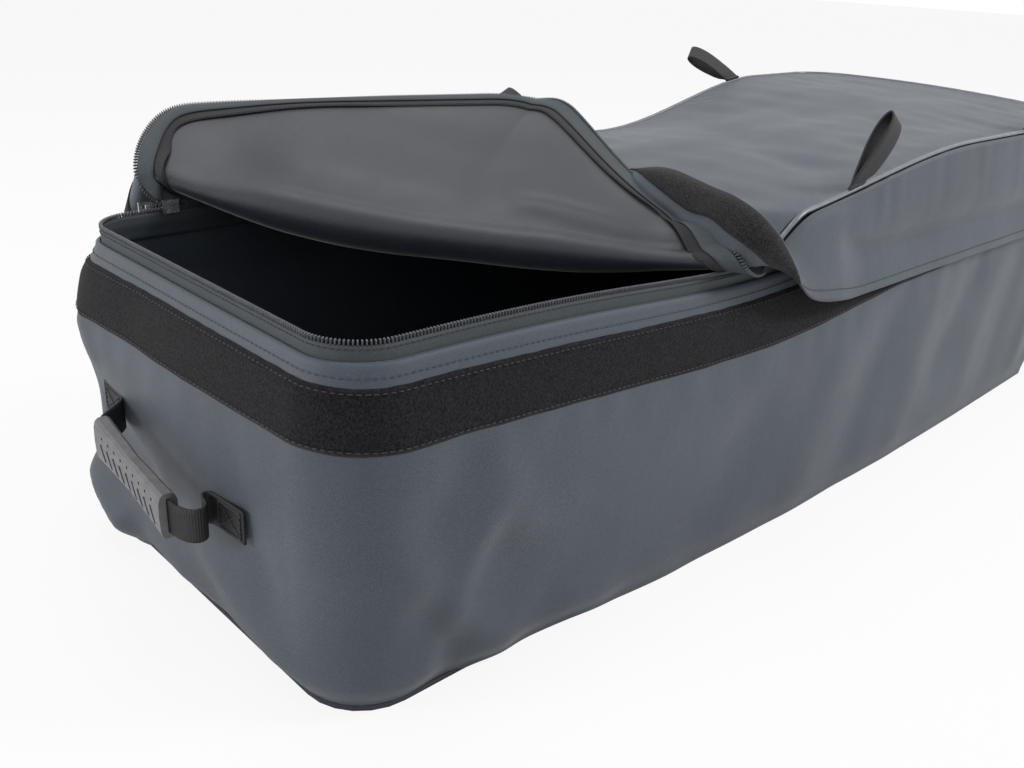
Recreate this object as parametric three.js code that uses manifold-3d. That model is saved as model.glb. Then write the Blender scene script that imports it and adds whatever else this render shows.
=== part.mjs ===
import * as THREE from 'three';
import { mergeVertices } from 'three/addons/utils/BufferGeometryUtils.js';
import Module from 'manifold-3d';

const wasm = await Module();
wasm.setup();

// A soft transit bag for a roof rack: a long box of coated cloth with a zipped lid.
// The zip is open from the slider round the left end and along the near side,
// and that corner of the lid lies folded back over the rest.
// Millimetres, +X along the bag, +Y to its far side, +Z up.

// Driving dimensions of the body
const bagLength = 1090;
const bagWidth = 400;
const cornerRadius = 58;
const wallTop = 251;
const wallThickness = 3;
const baseThickness = 4;
const seat = 0.3;

// The wall leans in above its shoulder, bellies out a little between the corners and
// tucks under at the ground
const shoulderHeight = wallTop - 61;
const rimInset = 14;
const belly = 8;
const bottomTuck = 7;
const bottomRound = 28;

// Loop band round the wall, and the storm flap that closes on it
const bandBottom = wallTop - 52;
const bandHeight = 40;
const bandThickness = 1.8;
const flapThickness = 1.6;
const hookTapeThickness = 1.4;
const hookTapeReach = 0.6;
const flapClearance = 1.2;
const flapHemHeight = bandBottom + 3;
const flapSlack = 9;

// Zip: it stands upright on the wall's top edge, the lid's teeth above the body's
const zipHeight = wallTop + 15;
const teethWidth = 3.4;
const teethThickness = 3.4;
const teethGap = 1;
const tapeThickness = 1;
const tapeLap = 12;
const zipEndBeyondCorner = 30;
const stopLength = 6;
const carrierTail = zipEndBeyondCorner + stopLength + 4 * seat;

// Slider and puller
const sliderStart = 82;
const sliderLength = 15;
const sliderWidth = 11.6;
const sliderPlate = 1.6;
const sliderPlay = 0.6;
const sliderPost = 0.45;
const sliderLip = 0.8;
const slotPlay = 0.4;
const bailWidth = 3.2;
const bailHeight = 4.4;
const bailLength = 10;
const bailBar = 1.2;
const pullerLength = 24;
const pullerWidth = 8;
const pullerThickness = 1.4;
const pullerBar = 1;
const pullerHole = 3.2;

// Lid panel: its edge, its closed height and the line that it folds on
const lidInset = 8;
const lidThickness = 2.4;
const lidLow = zipHeight + 15;
const lidHighNear = lidLow + 37;
const lidHighFar = lidLow + 49;
const nearRise = [380, 760];
const farRise = [640, 940];
const lidCrown = 6;
const foldFarX = 92;
const foldNearX = 402;
const foldRadiusFar = 13;
const foldRadiusMiddle = 17;
const foldSettles = [-60, 90];
const leafTwist = 96;
const leafRise = 55;
const cornerDraw = 0.4;

// Trim along the lid's edge
const trimSeat = 1.1;
const pipingRadius = 2.2;
const pipingStandOff = 0.6;
const bindingWidth = 13;
const bindingThickness = 1;
const bindingSetBack = 3.4;
const tapeReach = 11;
const tapeHinge = 2.5;
const tapeLift = 1.5;
const nearTapeTurns = [-32, 0];
const tapeLiesBack = [240, 330];
const leafFlapWidth = 92;
const tuckedFlapWidth = 60;
const leafFlapDrops = [35, 68];
const leafFlapPull = 1;
const farFlapTurns = [-32, 6];
const nearFlapTurns = [-78, -30];

// Handles at both ends
const webbingWidth = 25;
const webbingThickness = 1.8;
const handleHeight = 127;
const handleTilt = 10;
const handleStandOff = 36;
const patchOuterFar = 324;
const patchInnerFar = 286;
const gripFar = 250;
const gripNear = 147;
const patchInnerNear = 141;
const patchOuterNear = 102;
const gripHeight = 31;
const gripDepth = 13;
const gripSlotPlay = 0.5;
const gripSlots = 9;
const gripSlotWidth = 3.2;
const gripSlotDepth = 2.6;
const gripHoleRadius = 1.3;

// Tie-down loops in the lid's piping seam, three along each long side
const loopPitch = 347;
const loopHeight = 68;
const loopBulge = 9;
const loopSettles = 24;

// Sampling of the round and soft forms
const cornerSteps = 6;
const bodyLongStep = 99;
const bodyShortStep = 72;
const lidStep = 45;
const foldStep = 6;

const up = new THREE.Vector3(0, 0, 1);
const radians = THREE.MathUtils.degToRad;
const point = (x, y, z) => new THREE.Vector3(x, y, z);
const mix = (a, b, t) => a + (b - a) * t;
const ease = (a, b, value) => THREE.MathUtils.smoothstep(value, a, b);

// Adds the triangles of one quad, as two index triples
function quad(index, a, b, c, d) {
  index.push(a, b, c, a, c, d);
}

// Makes a geometry from points and triangles, turned so that its faces point out
function solidFrom(points, index) {
  const geometry = new THREE.BufferGeometry();
  const flat = points.flatMap((p) => [p.x, p.y, p.z]);
  geometry.setAttribute('position', new THREE.Float32BufferAttribute(flat, 3));
  let volume = 0;
  for (let i = 0; i < index.length; i += 3) {
    const [a, b, c] = [points[index[i]], points[index[i + 1]], points[index[i + 2]]];
    volume += a.dot(b.clone().cross(c));
  }
  if (volume < 0) {
    for (let i = 0; i < index.length; i += 3) {
      [index[i], index[i + 1]] = [index[i + 1], index[i]];
    }
  }
  geometry.setIndex(index);
  geometry.computeVertexNormals();
  return geometry;
}

// A thick sheet between two grids of points, front[row][column] and back[row][column].
// A ring sheet joins its last row to its first.
function thickSheet(front, back, ring = false) {
  const rows = front.length;
  const columns = front[0].length;
  const points = [...front.flat(), ...back.flat()];
  const index = [];
  const at = (side, row, column) => side * rows * columns + (row % rows) * columns + column;
  const spans = ring ? rows : rows - 1;
  for (let row = 0; row < spans; row += 1) {
    for (let column = 0; column < columns - 1; column += 1) {
      quad(index, at(0, row, column), at(0, row + 1, column),
        at(0, row + 1, column + 1), at(0, row, column + 1));
      quad(index, at(1, row, column), at(1, row, column + 1),
        at(1, row + 1, column + 1), at(1, row + 1, column));
    }
    quad(index, at(0, row, 0), at(1, row, 0), at(1, row + 1, 0), at(0, row + 1, 0));
    const last = columns - 1;
    quad(index, at(0, row, last), at(0, row + 1, last), at(1, row + 1, last), at(1, row, last));
  }
  if (!ring) {
    for (let column = 0; column < columns - 1; column += 1) {
      quad(index, at(0, 0, column), at(0, 0, column + 1), at(1, 0, column + 1), at(1, 0, column));
      const end = rows - 1;
      quad(index, at(0, end, column), at(1, end, column),
        at(1, end, column + 1), at(0, end, column + 1));
    }
  }
  return solidFrom(points, index);
}

// A bar through a list of convex outlines, closed by flat ends or joined into a ring
function bar(outlines, ring = false) {
  const count = outlines[0].length;
  const points = outlines.flat();
  const index = [];
  const at = (row, k) => (row % outlines.length) * count + (k % count);
  const spans = ring ? outlines.length : outlines.length - 1;
  for (let row = 0; row < spans; row += 1) {
    for (let k = 0; k < count; k += 1) {
      quad(index, at(row, k), at(row, k + 1), at(row + 1, k + 1), at(row + 1, k));
    }
  }
  if (!ring) {
    const last = outlines.length - 1;
    for (let k = 1; k < count - 1; k += 1) {
      index.push(at(0, 0), at(0, k + 1), at(0, k));
      index.push(at(last, 0), at(last, k), at(last, k + 1));
    }
  }
  return solidFrom(points, index);
}

// Booleans on closed meshes
function toManifold(geometry) {
  const plain = geometry.clone();
  plain.deleteAttribute('normal');
  plain.deleteAttribute('uv');
  const merged = mergeVertices(plain, 1e-4);
  return new wasm.Manifold(new wasm.Mesh({
    numProp: 3,
    vertProperties: new Float32Array(merged.attributes.position.array),
    triVerts: new Uint32Array(merged.index.array),
  }));
}

function toGeometry(manifold) {
  const mesh = manifold.getMesh();
  const geometry = new THREE.BufferGeometry();
  geometry.setAttribute('position', new THREE.BufferAttribute(mesh.vertProperties, 3));
  geometry.setIndex(new THREE.BufferAttribute(mesh.triVerts, 1));
  geometry.computeVertexNormals();
  return geometry;
}

// Even steps between two ends, without the ends themselves
function between(start, end, step) {
  const count = Math.max(1, Math.round(Math.abs(end - start) / step));
  return Array.from({ length: count - 1 }, (_, i) => mix(start, end, (i + 1) / count));
}

// Stations round a rounded rectangle, anticlockwise from the middle of the right end.
// Each holds its place, its outward direction and how far it is from the corners.
function outline(inset, radius, steps) {
  const [x0, x1] = [inset, bagLength - inset];
  const [y0, y1] = [inset, bagWidth - inset];
  const stations = [];
  const straight = (values, place, nx, ny, low, high) => {
    for (const value of values) {
      const middle = Math.sin(Math.PI * (value - low) / (high - low));
      stations.push({ ...place(value), nx, ny, middle });
    }
  };
  const corner = (cx, cy, start) => {
    for (let i = 0; i <= cornerSteps; i += 1) {
      const angle = radians(start + 90 * i / cornerSteps);
      const [nx, ny] = [Math.cos(angle), Math.sin(angle)];
      stations.push({ x: cx + radius * nx, y: cy + radius * ny, nx, ny, middle: 0 });
    }
  };
  const [left, right] = [x0 + radius, x1 - radius];
  const [near, far] = [y0 + radius, y1 - radius];
  const half = steps.right;
  straight(half.filter((y) => y >= bagWidth / 2), (y) => ({ x: x1, y }), 1, 0, near, far);
  corner(right, far, 0);
  straight(steps.far, (x) => ({ x, y: y1 }), 0, 1, left, right);
  corner(left, far, 90);
  straight(steps.left, (y) => ({ x: x0, y }), -1, 0, near, far);
  corner(left, near, 180);
  straight(steps.near, (x) => ({ x, y: y0 }), 0, -1, left, right);
  corner(right, near, 270);
  straight(half.filter((y) => y < bagWidth / 2), (y) => ({ x: x1, y }), 1, 0, near, far);
  return stations;
}

// The part of a ring of stations that the zip runs along: all but the right end's
// middle. Past each of its corners the teeth have a short tail and the tapes, which
// carry the stops, a longer one.
function zipRun(stations, inset) {
  const onRightEnd = (s) => s.nx > 0.999;
  const count = stations.length;
  const first = stations.findIndex(
    (s, i) => !onRightEnd(s) && onRightEnd(stations[(i + count - 1) % count]));
  const turned = [...stations.slice(first), ...stations.slice(0, first)];
  const [near, far] = [cornerRadius, bagWidth - cornerRadius];
  const tail = (y) => ({
    x: bagLength - inset, y, nx: 1, ny: 0, middle: Math.sin(Math.PI * (y - near) / (far - near)),
  });
  return [
    tail(far - carrierTail), tail(far - zipEndBeyondCorner), tail(far),
    ...turned.filter((s) => !onRightEnd(s)),
    tail(near), tail(near + zipEndBeyondCorner), tail(near + carrierTail),
  ];
}

const shift = (s, out, z) => point(s.x + s.nx * out, s.y + s.ny * out, z);

// Body stations
const bodyLeft = cornerRadius;
const bodyRight = bagLength - cornerRadius;
const bodyNear = cornerRadius;
const bodyFar = bagWidth - cornerRadius;
const body = outline(0, cornerRadius, {
  right: between(bodyNear, bodyFar, bodyShortStep),
  far: between(bodyRight, bodyLeft, bodyLongStep),
  left: between(bodyFar, bodyNear, bodyShortStep),
  near: between(bodyLeft, bodyRight, bodyLongStep),
});

// Outward offset of the wall's outer face at a height
function wallFace(s, z) {
  const lean = rimInset * ease(shoulderHeight, zipHeight, z);
  const bulge = belly * s.middle * Math.sin(Math.PI * Math.min(z / wallTop, 1));
  const tuck = bottomTuck * (1 - Math.min(z / bottomRound, 1)) ** 2;
  return bulge - lean - tuck;
}

// A skin round the wall between two depths under its outer face
function wallSkin(stations, heights, outer, inner, ring) {
  const layer = (depth) => stations.map(
    (s) => heights.map((z) => shift(s, wallFace(s, z) + depth, z)));
  return thickSheet(layer(outer), layer(inner), ring);
}

const bandTop = bandBottom + bandHeight;
const bandHeights = [0, 0.33, 0.67, 1].map((share) => mix(bandBottom, bandTop, share));
const lowerHeights = [0.25, 0.5, 0.75].map((share) => share * shoulderHeight);
const wallHeights = [0, bottomRound * 0.2, bottomRound * 0.5, ...lowerHeights,
  shoulderHeight * 0.95, ...bandHeights, wallTop];
const bodyWalls = wallSkin(body, wallHeights, 0, -wallThickness, true);

function roundedPlate(inset, thickness) {
  const shape = new THREE.Shape();
  const [w, h, r] = [bagLength - 2 * inset, bagWidth - 2 * inset, cornerRadius - inset];
  shape.moveTo(r, 0).lineTo(w - r, 0).absarc(w - r, r, r, -Math.PI / 2, 0);
  shape.lineTo(w, h - r).absarc(w - r, h - r, r, 0, Math.PI / 2);
  shape.lineTo(r, h).absarc(r, h - r, r, Math.PI / 2, Math.PI);
  shape.lineTo(0, r).absarc(r, r, r, Math.PI, 1.5 * Math.PI);
  const geometry = new THREE.ExtrudeGeometry(shape, {
    depth: thickness, bevelEnabled: false, curveSegments: cornerSteps / 2,
  });
  return geometry.translate(inset, inset, 0);
}

const basePanel = roundedPlate(bottomTuck + wallThickness + seat, baseThickness);

const loopBand = wallSkin(body, bandHeights, seat + bandThickness, seat, true);

// Zip on the body: a tape behind the wall's top edge that carries the teeth
const bodyZip = zipRun(body, 0);
const bodyTeeth = bodyZip.slice(1, -1);
const zipInset = rimInset + wallThickness + seat + tapeThickness / 2;
const bodyTapeTop = zipHeight - teethGap / 2 - teethWidth - seat;
const tapeHeights = [wallTop - tapeLap, wallTop, bodyTapeTop];

function bodyZipTape() {
  const layer = (depth) => bodyZip.map((s) => tapeHeights.map((z) => {
    const out = z > wallTop ? -zipInset + tapeThickness / 2 : wallFace(s, z) - wallThickness - seat;
    return shift(s, out - depth, z);
  }));
  return thickSheet(layer(0), layer(tapeThickness));
}

// One row of teeth as a six-sided bead, broad across the zip
function teethOutline(place, across, through) {
  const corners = [[-1, 0], [-0.6, 1], [0.6, 1], [1, 0], [0.6, -1], [-0.6, -1]];
  return corners.map(([a, b]) => place.clone()
    .addScaledVector(across, a * teethWidth / 2)
    .addScaledVector(through, b * teethThickness / 2));
}

const outwardOf = (s) => point(s.nx, s.ny, 0);
const bodyTeethHeight = zipHeight - teethGap / 2 - teethWidth / 2;
const lidTeethHeight = zipHeight + teethGap / 2 + teethWidth / 2;
const bodyZipTeeth = bar(bodyTeeth.map(
  (s) => teethOutline(shift(s, -zipInset, bodyTeethHeight), up, outwardOf(s))));

// The lid's fold: flat lid places are taken to where the folded cloth lies
const foldStart = new THREE.Vector2(foldFarX, bagWidth - lidInset);
const foldEnd = new THREE.Vector2(foldNearX, lidInset);
const foldAlong = foldEnd.clone().sub(foldStart).normalize();
const foldAcross = new THREE.Vector2(-foldAlong.y, foldAlong.x);

function closedHeight(x, y) {
  const across = THREE.MathUtils.clamp((y - lidInset) / (bagWidth - 2 * lidInset), 0, 1);
  const near = mix(lidLow, lidHighNear, ease(...nearRise, x));
  const far = mix(lidLow, lidHighFar, ease(...farRise, x));
  const crown = lidCrown * Math.sin(Math.PI * across) * ease(nearRise[0], nearRise[1], x);
  return mix(near, far, across) + crown;
}

// How far the cloth turns back in the fold, so that the lid's left edge lies level
// on the folded corner, leafRise above the closed lid
function foldTurn(along, radius) {
  const alongTip = foldAlong.dot(new THREE.Vector2(lidInset, lidInset).sub(foldStart));
  const held = THREE.MathUtils.clamp(along, 0, alongTip);
  const reach = (foldFarX - lidInset + foldAlong.x * held) / foldAcross.x;
  return Math.PI - Math.asin((leafRise - 2 * radius) / (reach - Math.PI * radius));
}

function foldedPlace(x, y) {
  const rel = new THREE.Vector2(x, y).sub(foldStart);
  const beyond = -rel.dot(foldAcross);
  if (beyond <= 0) {
    return point(x, y, closedHeight(x, y));
  }
  const along = rel.dot(foldAlong);
  const radius = mix(foldRadiusFar, foldRadiusMiddle, ease(...foldSettles, along));
  const turn = foldTurn(along, radius);
  const bent = Math.min(beyond / radius, turn);
  const straight = Math.max(beyond - radius * turn, 0);
  const back = radius * Math.sin(bent) + straight * Math.cos(turn);
  const rise = radius * (1 - Math.cos(bent)) + straight * Math.sin(turn);
  const drawn = along < 0 ? along * cornerDraw : along;
  const base = foldStart.clone().addScaledVector(foldAlong, drawn).addScaledVector(foldAcross, -back);
  return point(base.x, base.y, lidLow + rise);
}

// Lid panel: rows of the cloth parallel to the fold line
const lidRadius = cornerRadius - lidInset;
function lidMargin(p) {
  const half = new THREE.Vector2(bagLength / 2 - lidInset, bagWidth / 2 - lidInset);
  const q = new THREE.Vector2(
    Math.abs(p.x - bagLength / 2) - half.x + lidRadius,
    Math.abs(p.y - bagWidth / 2) - half.y + lidRadius);
  const outside = Math.hypot(Math.max(q.x, 0), Math.max(q.y, 0));
  return outside + Math.min(Math.max(q.x, q.y), 0) - lidRadius;
}

function rowSpan(distance) {
  const place = (s) => foldStart.clone()
    .addScaledVector(foldAcross, distance).addScaledVector(foldAlong, s);
  const reach = 2 * bagWidth;
  let middle = 0;
  for (let s = -reach; s <= reach + bagLength; s += 2) {
    if (lidMargin(place(s)) < lidMargin(place(middle))) {
      middle = s;
    }
  }
  const edge = (direction) => {
    let [inside, outside] = [middle, middle + direction * (reach + bagLength)];
    for (let i = 0; i < 50; i += 1) {
      const s = (inside + outside) / 2;
      if (lidMargin(place(s)) < 0) {
        inside = s;
      } else {
        outside = s;
      }
    }
    return inside;
  };
  return { place, low: edge(-1), high: edge(1) };
}

// Distances of the lid's corners from the fold line
function cornerReach(x, y, sign) {
  const centre = new THREE.Vector2(x, y).sub(foldStart);
  return centre.dot(foldAcross) + sign * (lidRadius - 0.7);
}

const leafTip = cornerReach(lidInset + lidRadius, lidInset + lidRadius, -1);
const farTip = cornerReach(
  bagLength - lidInset - lidRadius, bagWidth - lidInset - lidRadius, 1);
const rollLength = foldRadiusMiddle * Math.PI;
const lidRows = [
  leafTip, leafTip + 3, leafTip + 9, leafTip + 20, leafTip + 38,
  ...between(leafTip + 38, -leafTwist, 32), -leafTwist,
  ...between(-leafTwist, -rollLength, 10), -rollLength,
  ...between(-rollLength, 0, foldStep), 0,
  ...between(0, farTip - 38, 32),
  farTip - 38, farTip - 20, farTip - 9, farTip - 3, farTip,
];
const lidColumns = 13;

const surfaceNormal = (x, y) => {
  const e = 0.05;
  const dx = foldedPlace(x + e, y).sub(foldedPlace(x - e, y));
  const dy = foldedPlace(x, y + e).sub(foldedPlace(x, y - e));
  return dx.cross(dy).normalize();
};

function lidPanel() {
  const layer = (depth) => lidRows.map((distance) => {
    const span = rowSpan(distance);
    return Array.from({ length: lidColumns }, (_, i) => {
      const p = span.place(mix(span.low, span.high, (i / (lidColumns - 1)) ** 1.6));
      return foldedPlace(p.x, p.y).addScaledVector(surfaceNormal(p.x, p.y), depth);
    });
  });
  return thickSheet(layer(lidThickness / 2), layer(-lidThickness / 2));
}

// Stations round the lid's edge, close together where the cloth folds
const lidLeft = lidInset + lidRadius;
const lidRight = bagLength - lidInset - lidRadius;
const lidNear = lidInset + lidRadius;
const lidFar = bagWidth - lidInset - lidRadius;
const farFoldEnd = foldFarX + 16;
const nearFoldStart = foldNearX - rollLength / foldAcross.x - foldStep;
const nearFoldEnd = foldNearX + 16 * foldStep;
const lidEdge = outline(lidInset, lidRadius, {
  right: between(lidNear, lidFar, bodyShortStep),
  far: [...between(lidRight, farFoldEnd, lidStep), farFoldEnd,
    ...between(farFoldEnd, lidLeft, foldStep)],
  left: between(lidFar, lidNear, lidStep / 2),
  near: [...between(lidLeft, nearFoldStart, lidStep / 2), nearFoldStart,
    ...between(nearFoldStart, nearFoldEnd, 1.3 * foldStep), nearFoldEnd,
    ...between(nearFoldEnd, lidRight, lidStep)],
});

// The edge of the folded cloth at a station: its place, the way out of the cloth,
// the inner side's normal and how far the station lies beyond the fold line
function clothEdge(s) {
  const e = 0.5;
  const place = foldedPlace(s.x, s.y);
  const out = place.clone().sub(foldedPlace(s.x - e * s.nx, s.y - e * s.ny)).normalize();
  const inner = surfaceNormal(s.x - e * s.nx, s.y - e * s.ny).negate();
  const rel = new THREE.Vector2(s.x, s.y).sub(foldStart);
  return { place, out, inner, beyond: -rel.dot(foldAcross), s };
}

const onCloth = (edge, out, inner) => edge.place.clone()
  .addScaledVector(edge.out, out).addScaledVector(edge.inner, inner);

// A round cord sewn in the seam round the lid
function lidPiping() {
  const sides = 6;
  const offset = pipingStandOff + pipingRadius;
  const rings = lidEdge.map(clothEdge).map((edge) => {
    const centre = onCloth(edge, offset, -trimSeat);
    return Array.from({ length: sides }, (_, i) => {
      const angle = 2 * Math.PI * (i + 0.5) / sides;
      return centre.clone()
        .addScaledVector(edge.out, pipingRadius * Math.cos(angle))
        .addScaledVector(edge.inner, pipingRadius * Math.sin(angle));
    });
  });
  return bar(rings, true);
}

// The tape that binds the seam on the lid's inner side
const bindingDepth = lidThickness / 2 + trimSeat;
function lidBinding() {
  const layer = (depth) => lidEdge.map(clothEdge).map((edge) => [
    onCloth(edge, -bindingSetBack - bindingWidth, depth),
    onCloth(edge, -bindingSetBack - bindingWidth / 2, depth),
    onCloth(edge, -bindingSetBack, depth),
  ]);
  return thickSheet(layer(bindingDepth + bindingThickness), layer(bindingDepth), true);
}

// The lid's half of the zip. Where the lid is closed its tape runs in from the seam
// and hangs down to the teeth. On the folded corner it lies beyond the seam, but near
// the slider it lies back on the lid's inner side.
const lidZip = zipRun(lidEdge, lidInset);
const tapeDepth = bindingDepth + bindingThickness + trimSeat + tapeThickness / 2;
const lidTapeEnd = zipHeight + teethGap / 2 + teethWidth + seat;
const farSide = (s) => s.ny > 0.5 && s.x < bagLength / 2;
const down = up.clone().negate();

function lidTapeLine(edge) {
  const { s } = edge;
  const sliderReach = (foldFarX - sliderStart) * foldAcross.x + 2;
  const [start, end] = farSide(s) ? [sliderReach, sliderReach + 13] : nearTapeTurns;
  const share = ease(start, end, edge.beyond);
  const back = ease(...tapeLiesBack, s.y);
  const angle = Math.PI * 0.94 * back;
  const hinge = lidInset - zipInset;
  const depth = tapeDepth + tapeLift * share * back;
  const onSeam = onCloth(edge, mix(hinge, mix(tapeHinge, hinge, back), share), depth);
  const onLongSide = Math.abs(s.ny) > 0.999;
  const turn = shift({ ...s, x: onLongSide ? onSeam.x : s.x }, hinge, onSeam.z)
    .lerp(onSeam, ease(start - 5, start + 3, edge.beyond));
  const open = edge.out.clone().multiplyScalar(Math.cos(angle))
    .addScaledVector(edge.inner, Math.sin(angle));
  const way = down.clone().lerp(open, share).normalize();
  const length = mix(turn.z - lidTapeEnd, tapeReach - tapeHinge, share);
  return [onCloth(edge, -2, depth), turn,
    turn.clone().addScaledVector(way, length / 2), turn.clone().addScaledVector(way, length)];
}

// Normals of a sheet given by its lines, and the lines moved along them
function lineNormals(lines, ring = false) {
  const count = lines.length;
  const beforeOf = (row) => (ring ? (row + count - 1) % count : Math.max(row - 1, 0));
  const afterOf = (row) => (ring ? (row + 1) % count : Math.min(row + 1, count - 1));
  return lines.map((line, row) => line.map((_, k) => {
    const along = lines[afterOf(row)][k].clone().sub(lines[beforeOf(row)][k]);
    const across = line[Math.min(k + 1, line.length - 1)].clone().sub(line[Math.max(k - 1, 0)]);
    return along.cross(across).normalize();
  }));
}

const offsetLines = (lines, normals, depth) => lines.map((line, row) => line.map(
  (p, k) => p.clone().addScaledVector(normals[row][k], depth)));

function lineSheet(lines, thickness) {
  const normals = lineNormals(lines);
  return thickSheet(offsetLines(lines, normals, thickness / 2),
    offsetLines(lines, normals, -thickness / 2));
}

const lidTapeLines = lidZip.map(clothEdge).map(lidTapeLine);
const lidTapeNormals = lineNormals(lidTapeLines);
const lidZipTape = lineSheet(lidTapeLines, tapeThickness);
const lidZipTeeth = bar(lidTapeLines.map((line, i) => {
  const across = line[3].clone().sub(line[2]).normalize();
  const centre = line[3].clone().addScaledVector(across, seat + teethWidth / 2);
  return teethOutline(centre, across, lidTapeNormals[i][3]);
}).slice(1, -1));

// Strip that hinges the lid on the right end, between the ends of the zip
function hingeStrip() {
  const clear = carrierTail + 1;
  const ends = [bodyNear + clear, bodyFar - clear];
  const ys = [ends[0], ...between(...ends, bodyShortStep), ends[1]];
  const lines = ys.map((y) => {
    const top = closedHeight(bagLength - lidInset, y) - tapeDepth - tapeThickness;
    const x = bagLength - rimInset - wallThickness / 2;
    return [point(x, y, wallTop + seat), point(x, y, mix(wallTop, top, 0.5)), point(x, y, top)];
  });
  return lineSheet(lines, wallThickness * 0.6);
}

// Storm flap: a skirt from the piping seam that hangs outside the wall where the lid
// is closed. On the folded corner it hangs from the leaf or lies beyond its edge.
const flapGap = seat + bandThickness + flapClearance + hookTapeThickness + trimSeat;
const flapRoot = pipingStandOff + 2 * pipingRadius + trimSeat + flapThickness / 2;
const flapHeights = [wallTop, ...bandHeights.slice(1).reverse(), flapHemHeight];

// Which way the flap lies from each part of the folded edge, and how wide it shows
function leafFlap(edge) {
  const { s } = edge;
  const far = s.y / bagWidth;
  const hangs = farSide(s) ? 1 : ease(0.1, 0.9, -s.nx);
  const level = point(edge.out.x, edge.out.y + leafFlapPull * ease(0.5, 1, far), 0).normalize();
  const drop = radians(mix(...leafFlapDrops, far));
  const hanging = level.multiplyScalar(Math.cos(drop)).addScaledVector(up, -Math.sin(drop));
  const way = edge.out.clone().addScaledVector(edge.inner, -0.06).lerp(hanging, hangs).normalize();
  return { way, width: mix(tuckedFlapWidth, leafFlapWidth, hangs) };
}

function flapLine(edge) {
  const { s, place } = edge;
  const root = onCloth(edge, flapRoot, 0);
  const slack = (z) => flapSlack * ease(bandTop, wallTop, z);
  const closed = flapHeights.map((z) => shift({ ...s, x: place.x },
    wallFace(s, z) + flapGap + flapThickness / 2 + lidInset + slack(z), z));
  const leaf = leafFlap(edge);
  const folded = flapHeights.map((z) => root.clone()
    .addScaledVector(leaf.way, leaf.width * (lidLow - z) / (lidLow - flapHemHeight)));
  const share = ease(...(farSide(s) ? farFlapTurns : nearFlapTurns), edge.beyond);
  return [root, ...closed.map((p, i) => p.lerp(folded[i], share))];
}

const flapLines = lidEdge.map(clothEdge).map(flapLine);
const flapNormals = lineNormals(flapLines, true);
function flapLayer(lines, normals, outer, inner) {
  return thickSheet(offsetLines(lines, normals, outer), offsetLines(lines, normals, inner), true);
}

// Hook tape along the hem on the flap's inner side, facing the loop band
function hookTape() {
  const shortened = (line) => {
    const [first, ...rest] = line.slice(2);
    const hem = rest.pop();
    const before = rest[rest.length - 1];
    return [first, ...rest, before.clone().lerp(hem, hookTapeReach)];
  };
  const inner = flapThickness / 2 + trimSeat;
  return flapLayer(flapLines.map(shortened), flapNormals.map(shortened),
    inner + hookTapeThickness, inner);
}

// Handles: one webbing with both ends sewn to the wall, through a moulded grip.
// Places along the end are counted from the near side of the left end.
function handlePlace(end, along, out, z) {
  const x = end === 'left' ? -out : bagLength + out;
  const y = end === 'left' ? along : bagWidth - along;
  return point(x, y, z);
}

const tiltAt = (along) => handleHeight + handleTilt
  * (along - (gripFar + gripNear) / 2) / ((gripFar - gripNear) / 2);

function handleFace(along) {
  const middle = Math.sin(Math.PI * (along - bodyNear) / (bodyFar - bodyNear));
  return wallFace({ middle }, handleHeight) + seat + webbingThickness / 2 + 0.4;
}

function handleStrap(end) {
  const onWall = (along) => point(along, handleFace(along), tiltAt(along > gripNear ? gripFar : gripNear));
  const clear = (along, out) => point(along, out, tiltAt(THREE.MathUtils.clamp(along, gripNear, gripFar)));
  const out = handleStandOff;
  const turn = patchInnerNear - 7;
  const pieces = [
    new THREE.LineCurve3(onWall(patchOuterFar), onWall(patchInnerFar)),
    new THREE.CubicBezierCurve3(onWall(patchInnerFar), onWall(patchInnerFar - 14),
      clear(gripFar + 14, out), clear(gripFar, out)),
    new THREE.LineCurve3(clear(gripFar, out), clear(gripNear, out)),
    new THREE.CubicBezierCurve3(clear(gripNear, out), clear(gripNear - 27, out),
      clear(gripNear - 29, out * 0.56), clear(turn, out * 0.47)),
    new THREE.CubicBezierCurve3(clear(turn, out * 0.47), clear(turn + 12, out * 0.42),
      onWall(turn + 12), onWall(turn)),
    new THREE.LineCurve3(onWall(turn), onWall(patchOuterNear)),
  ];
  const counts = [1, 6, 3, 8, 8, 1];
  const places = pieces.flatMap((piece, i) => piece.getPoints(counts[i]).slice(i > 0 ? 1 : 0));
  const layer = (side) => places.map((p, i) => {
    const before = places[Math.max(i - 1, 0)];
    const after = places[Math.min(i + 1, places.length - 1)];
    const along = after.clone().sub(before).setZ(0).normalize();
    const across = point(-along.y, along.x, 0).multiplyScalar(side * webbingThickness / 2);
    const q = p.clone().add(across);
    return [-1, 1].map((k) => handlePlace(end, q.x, q.y, q.z + k * webbingWidth / 2));
  });
  return thickSheet(layer(1), layer(-1));
}

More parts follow.
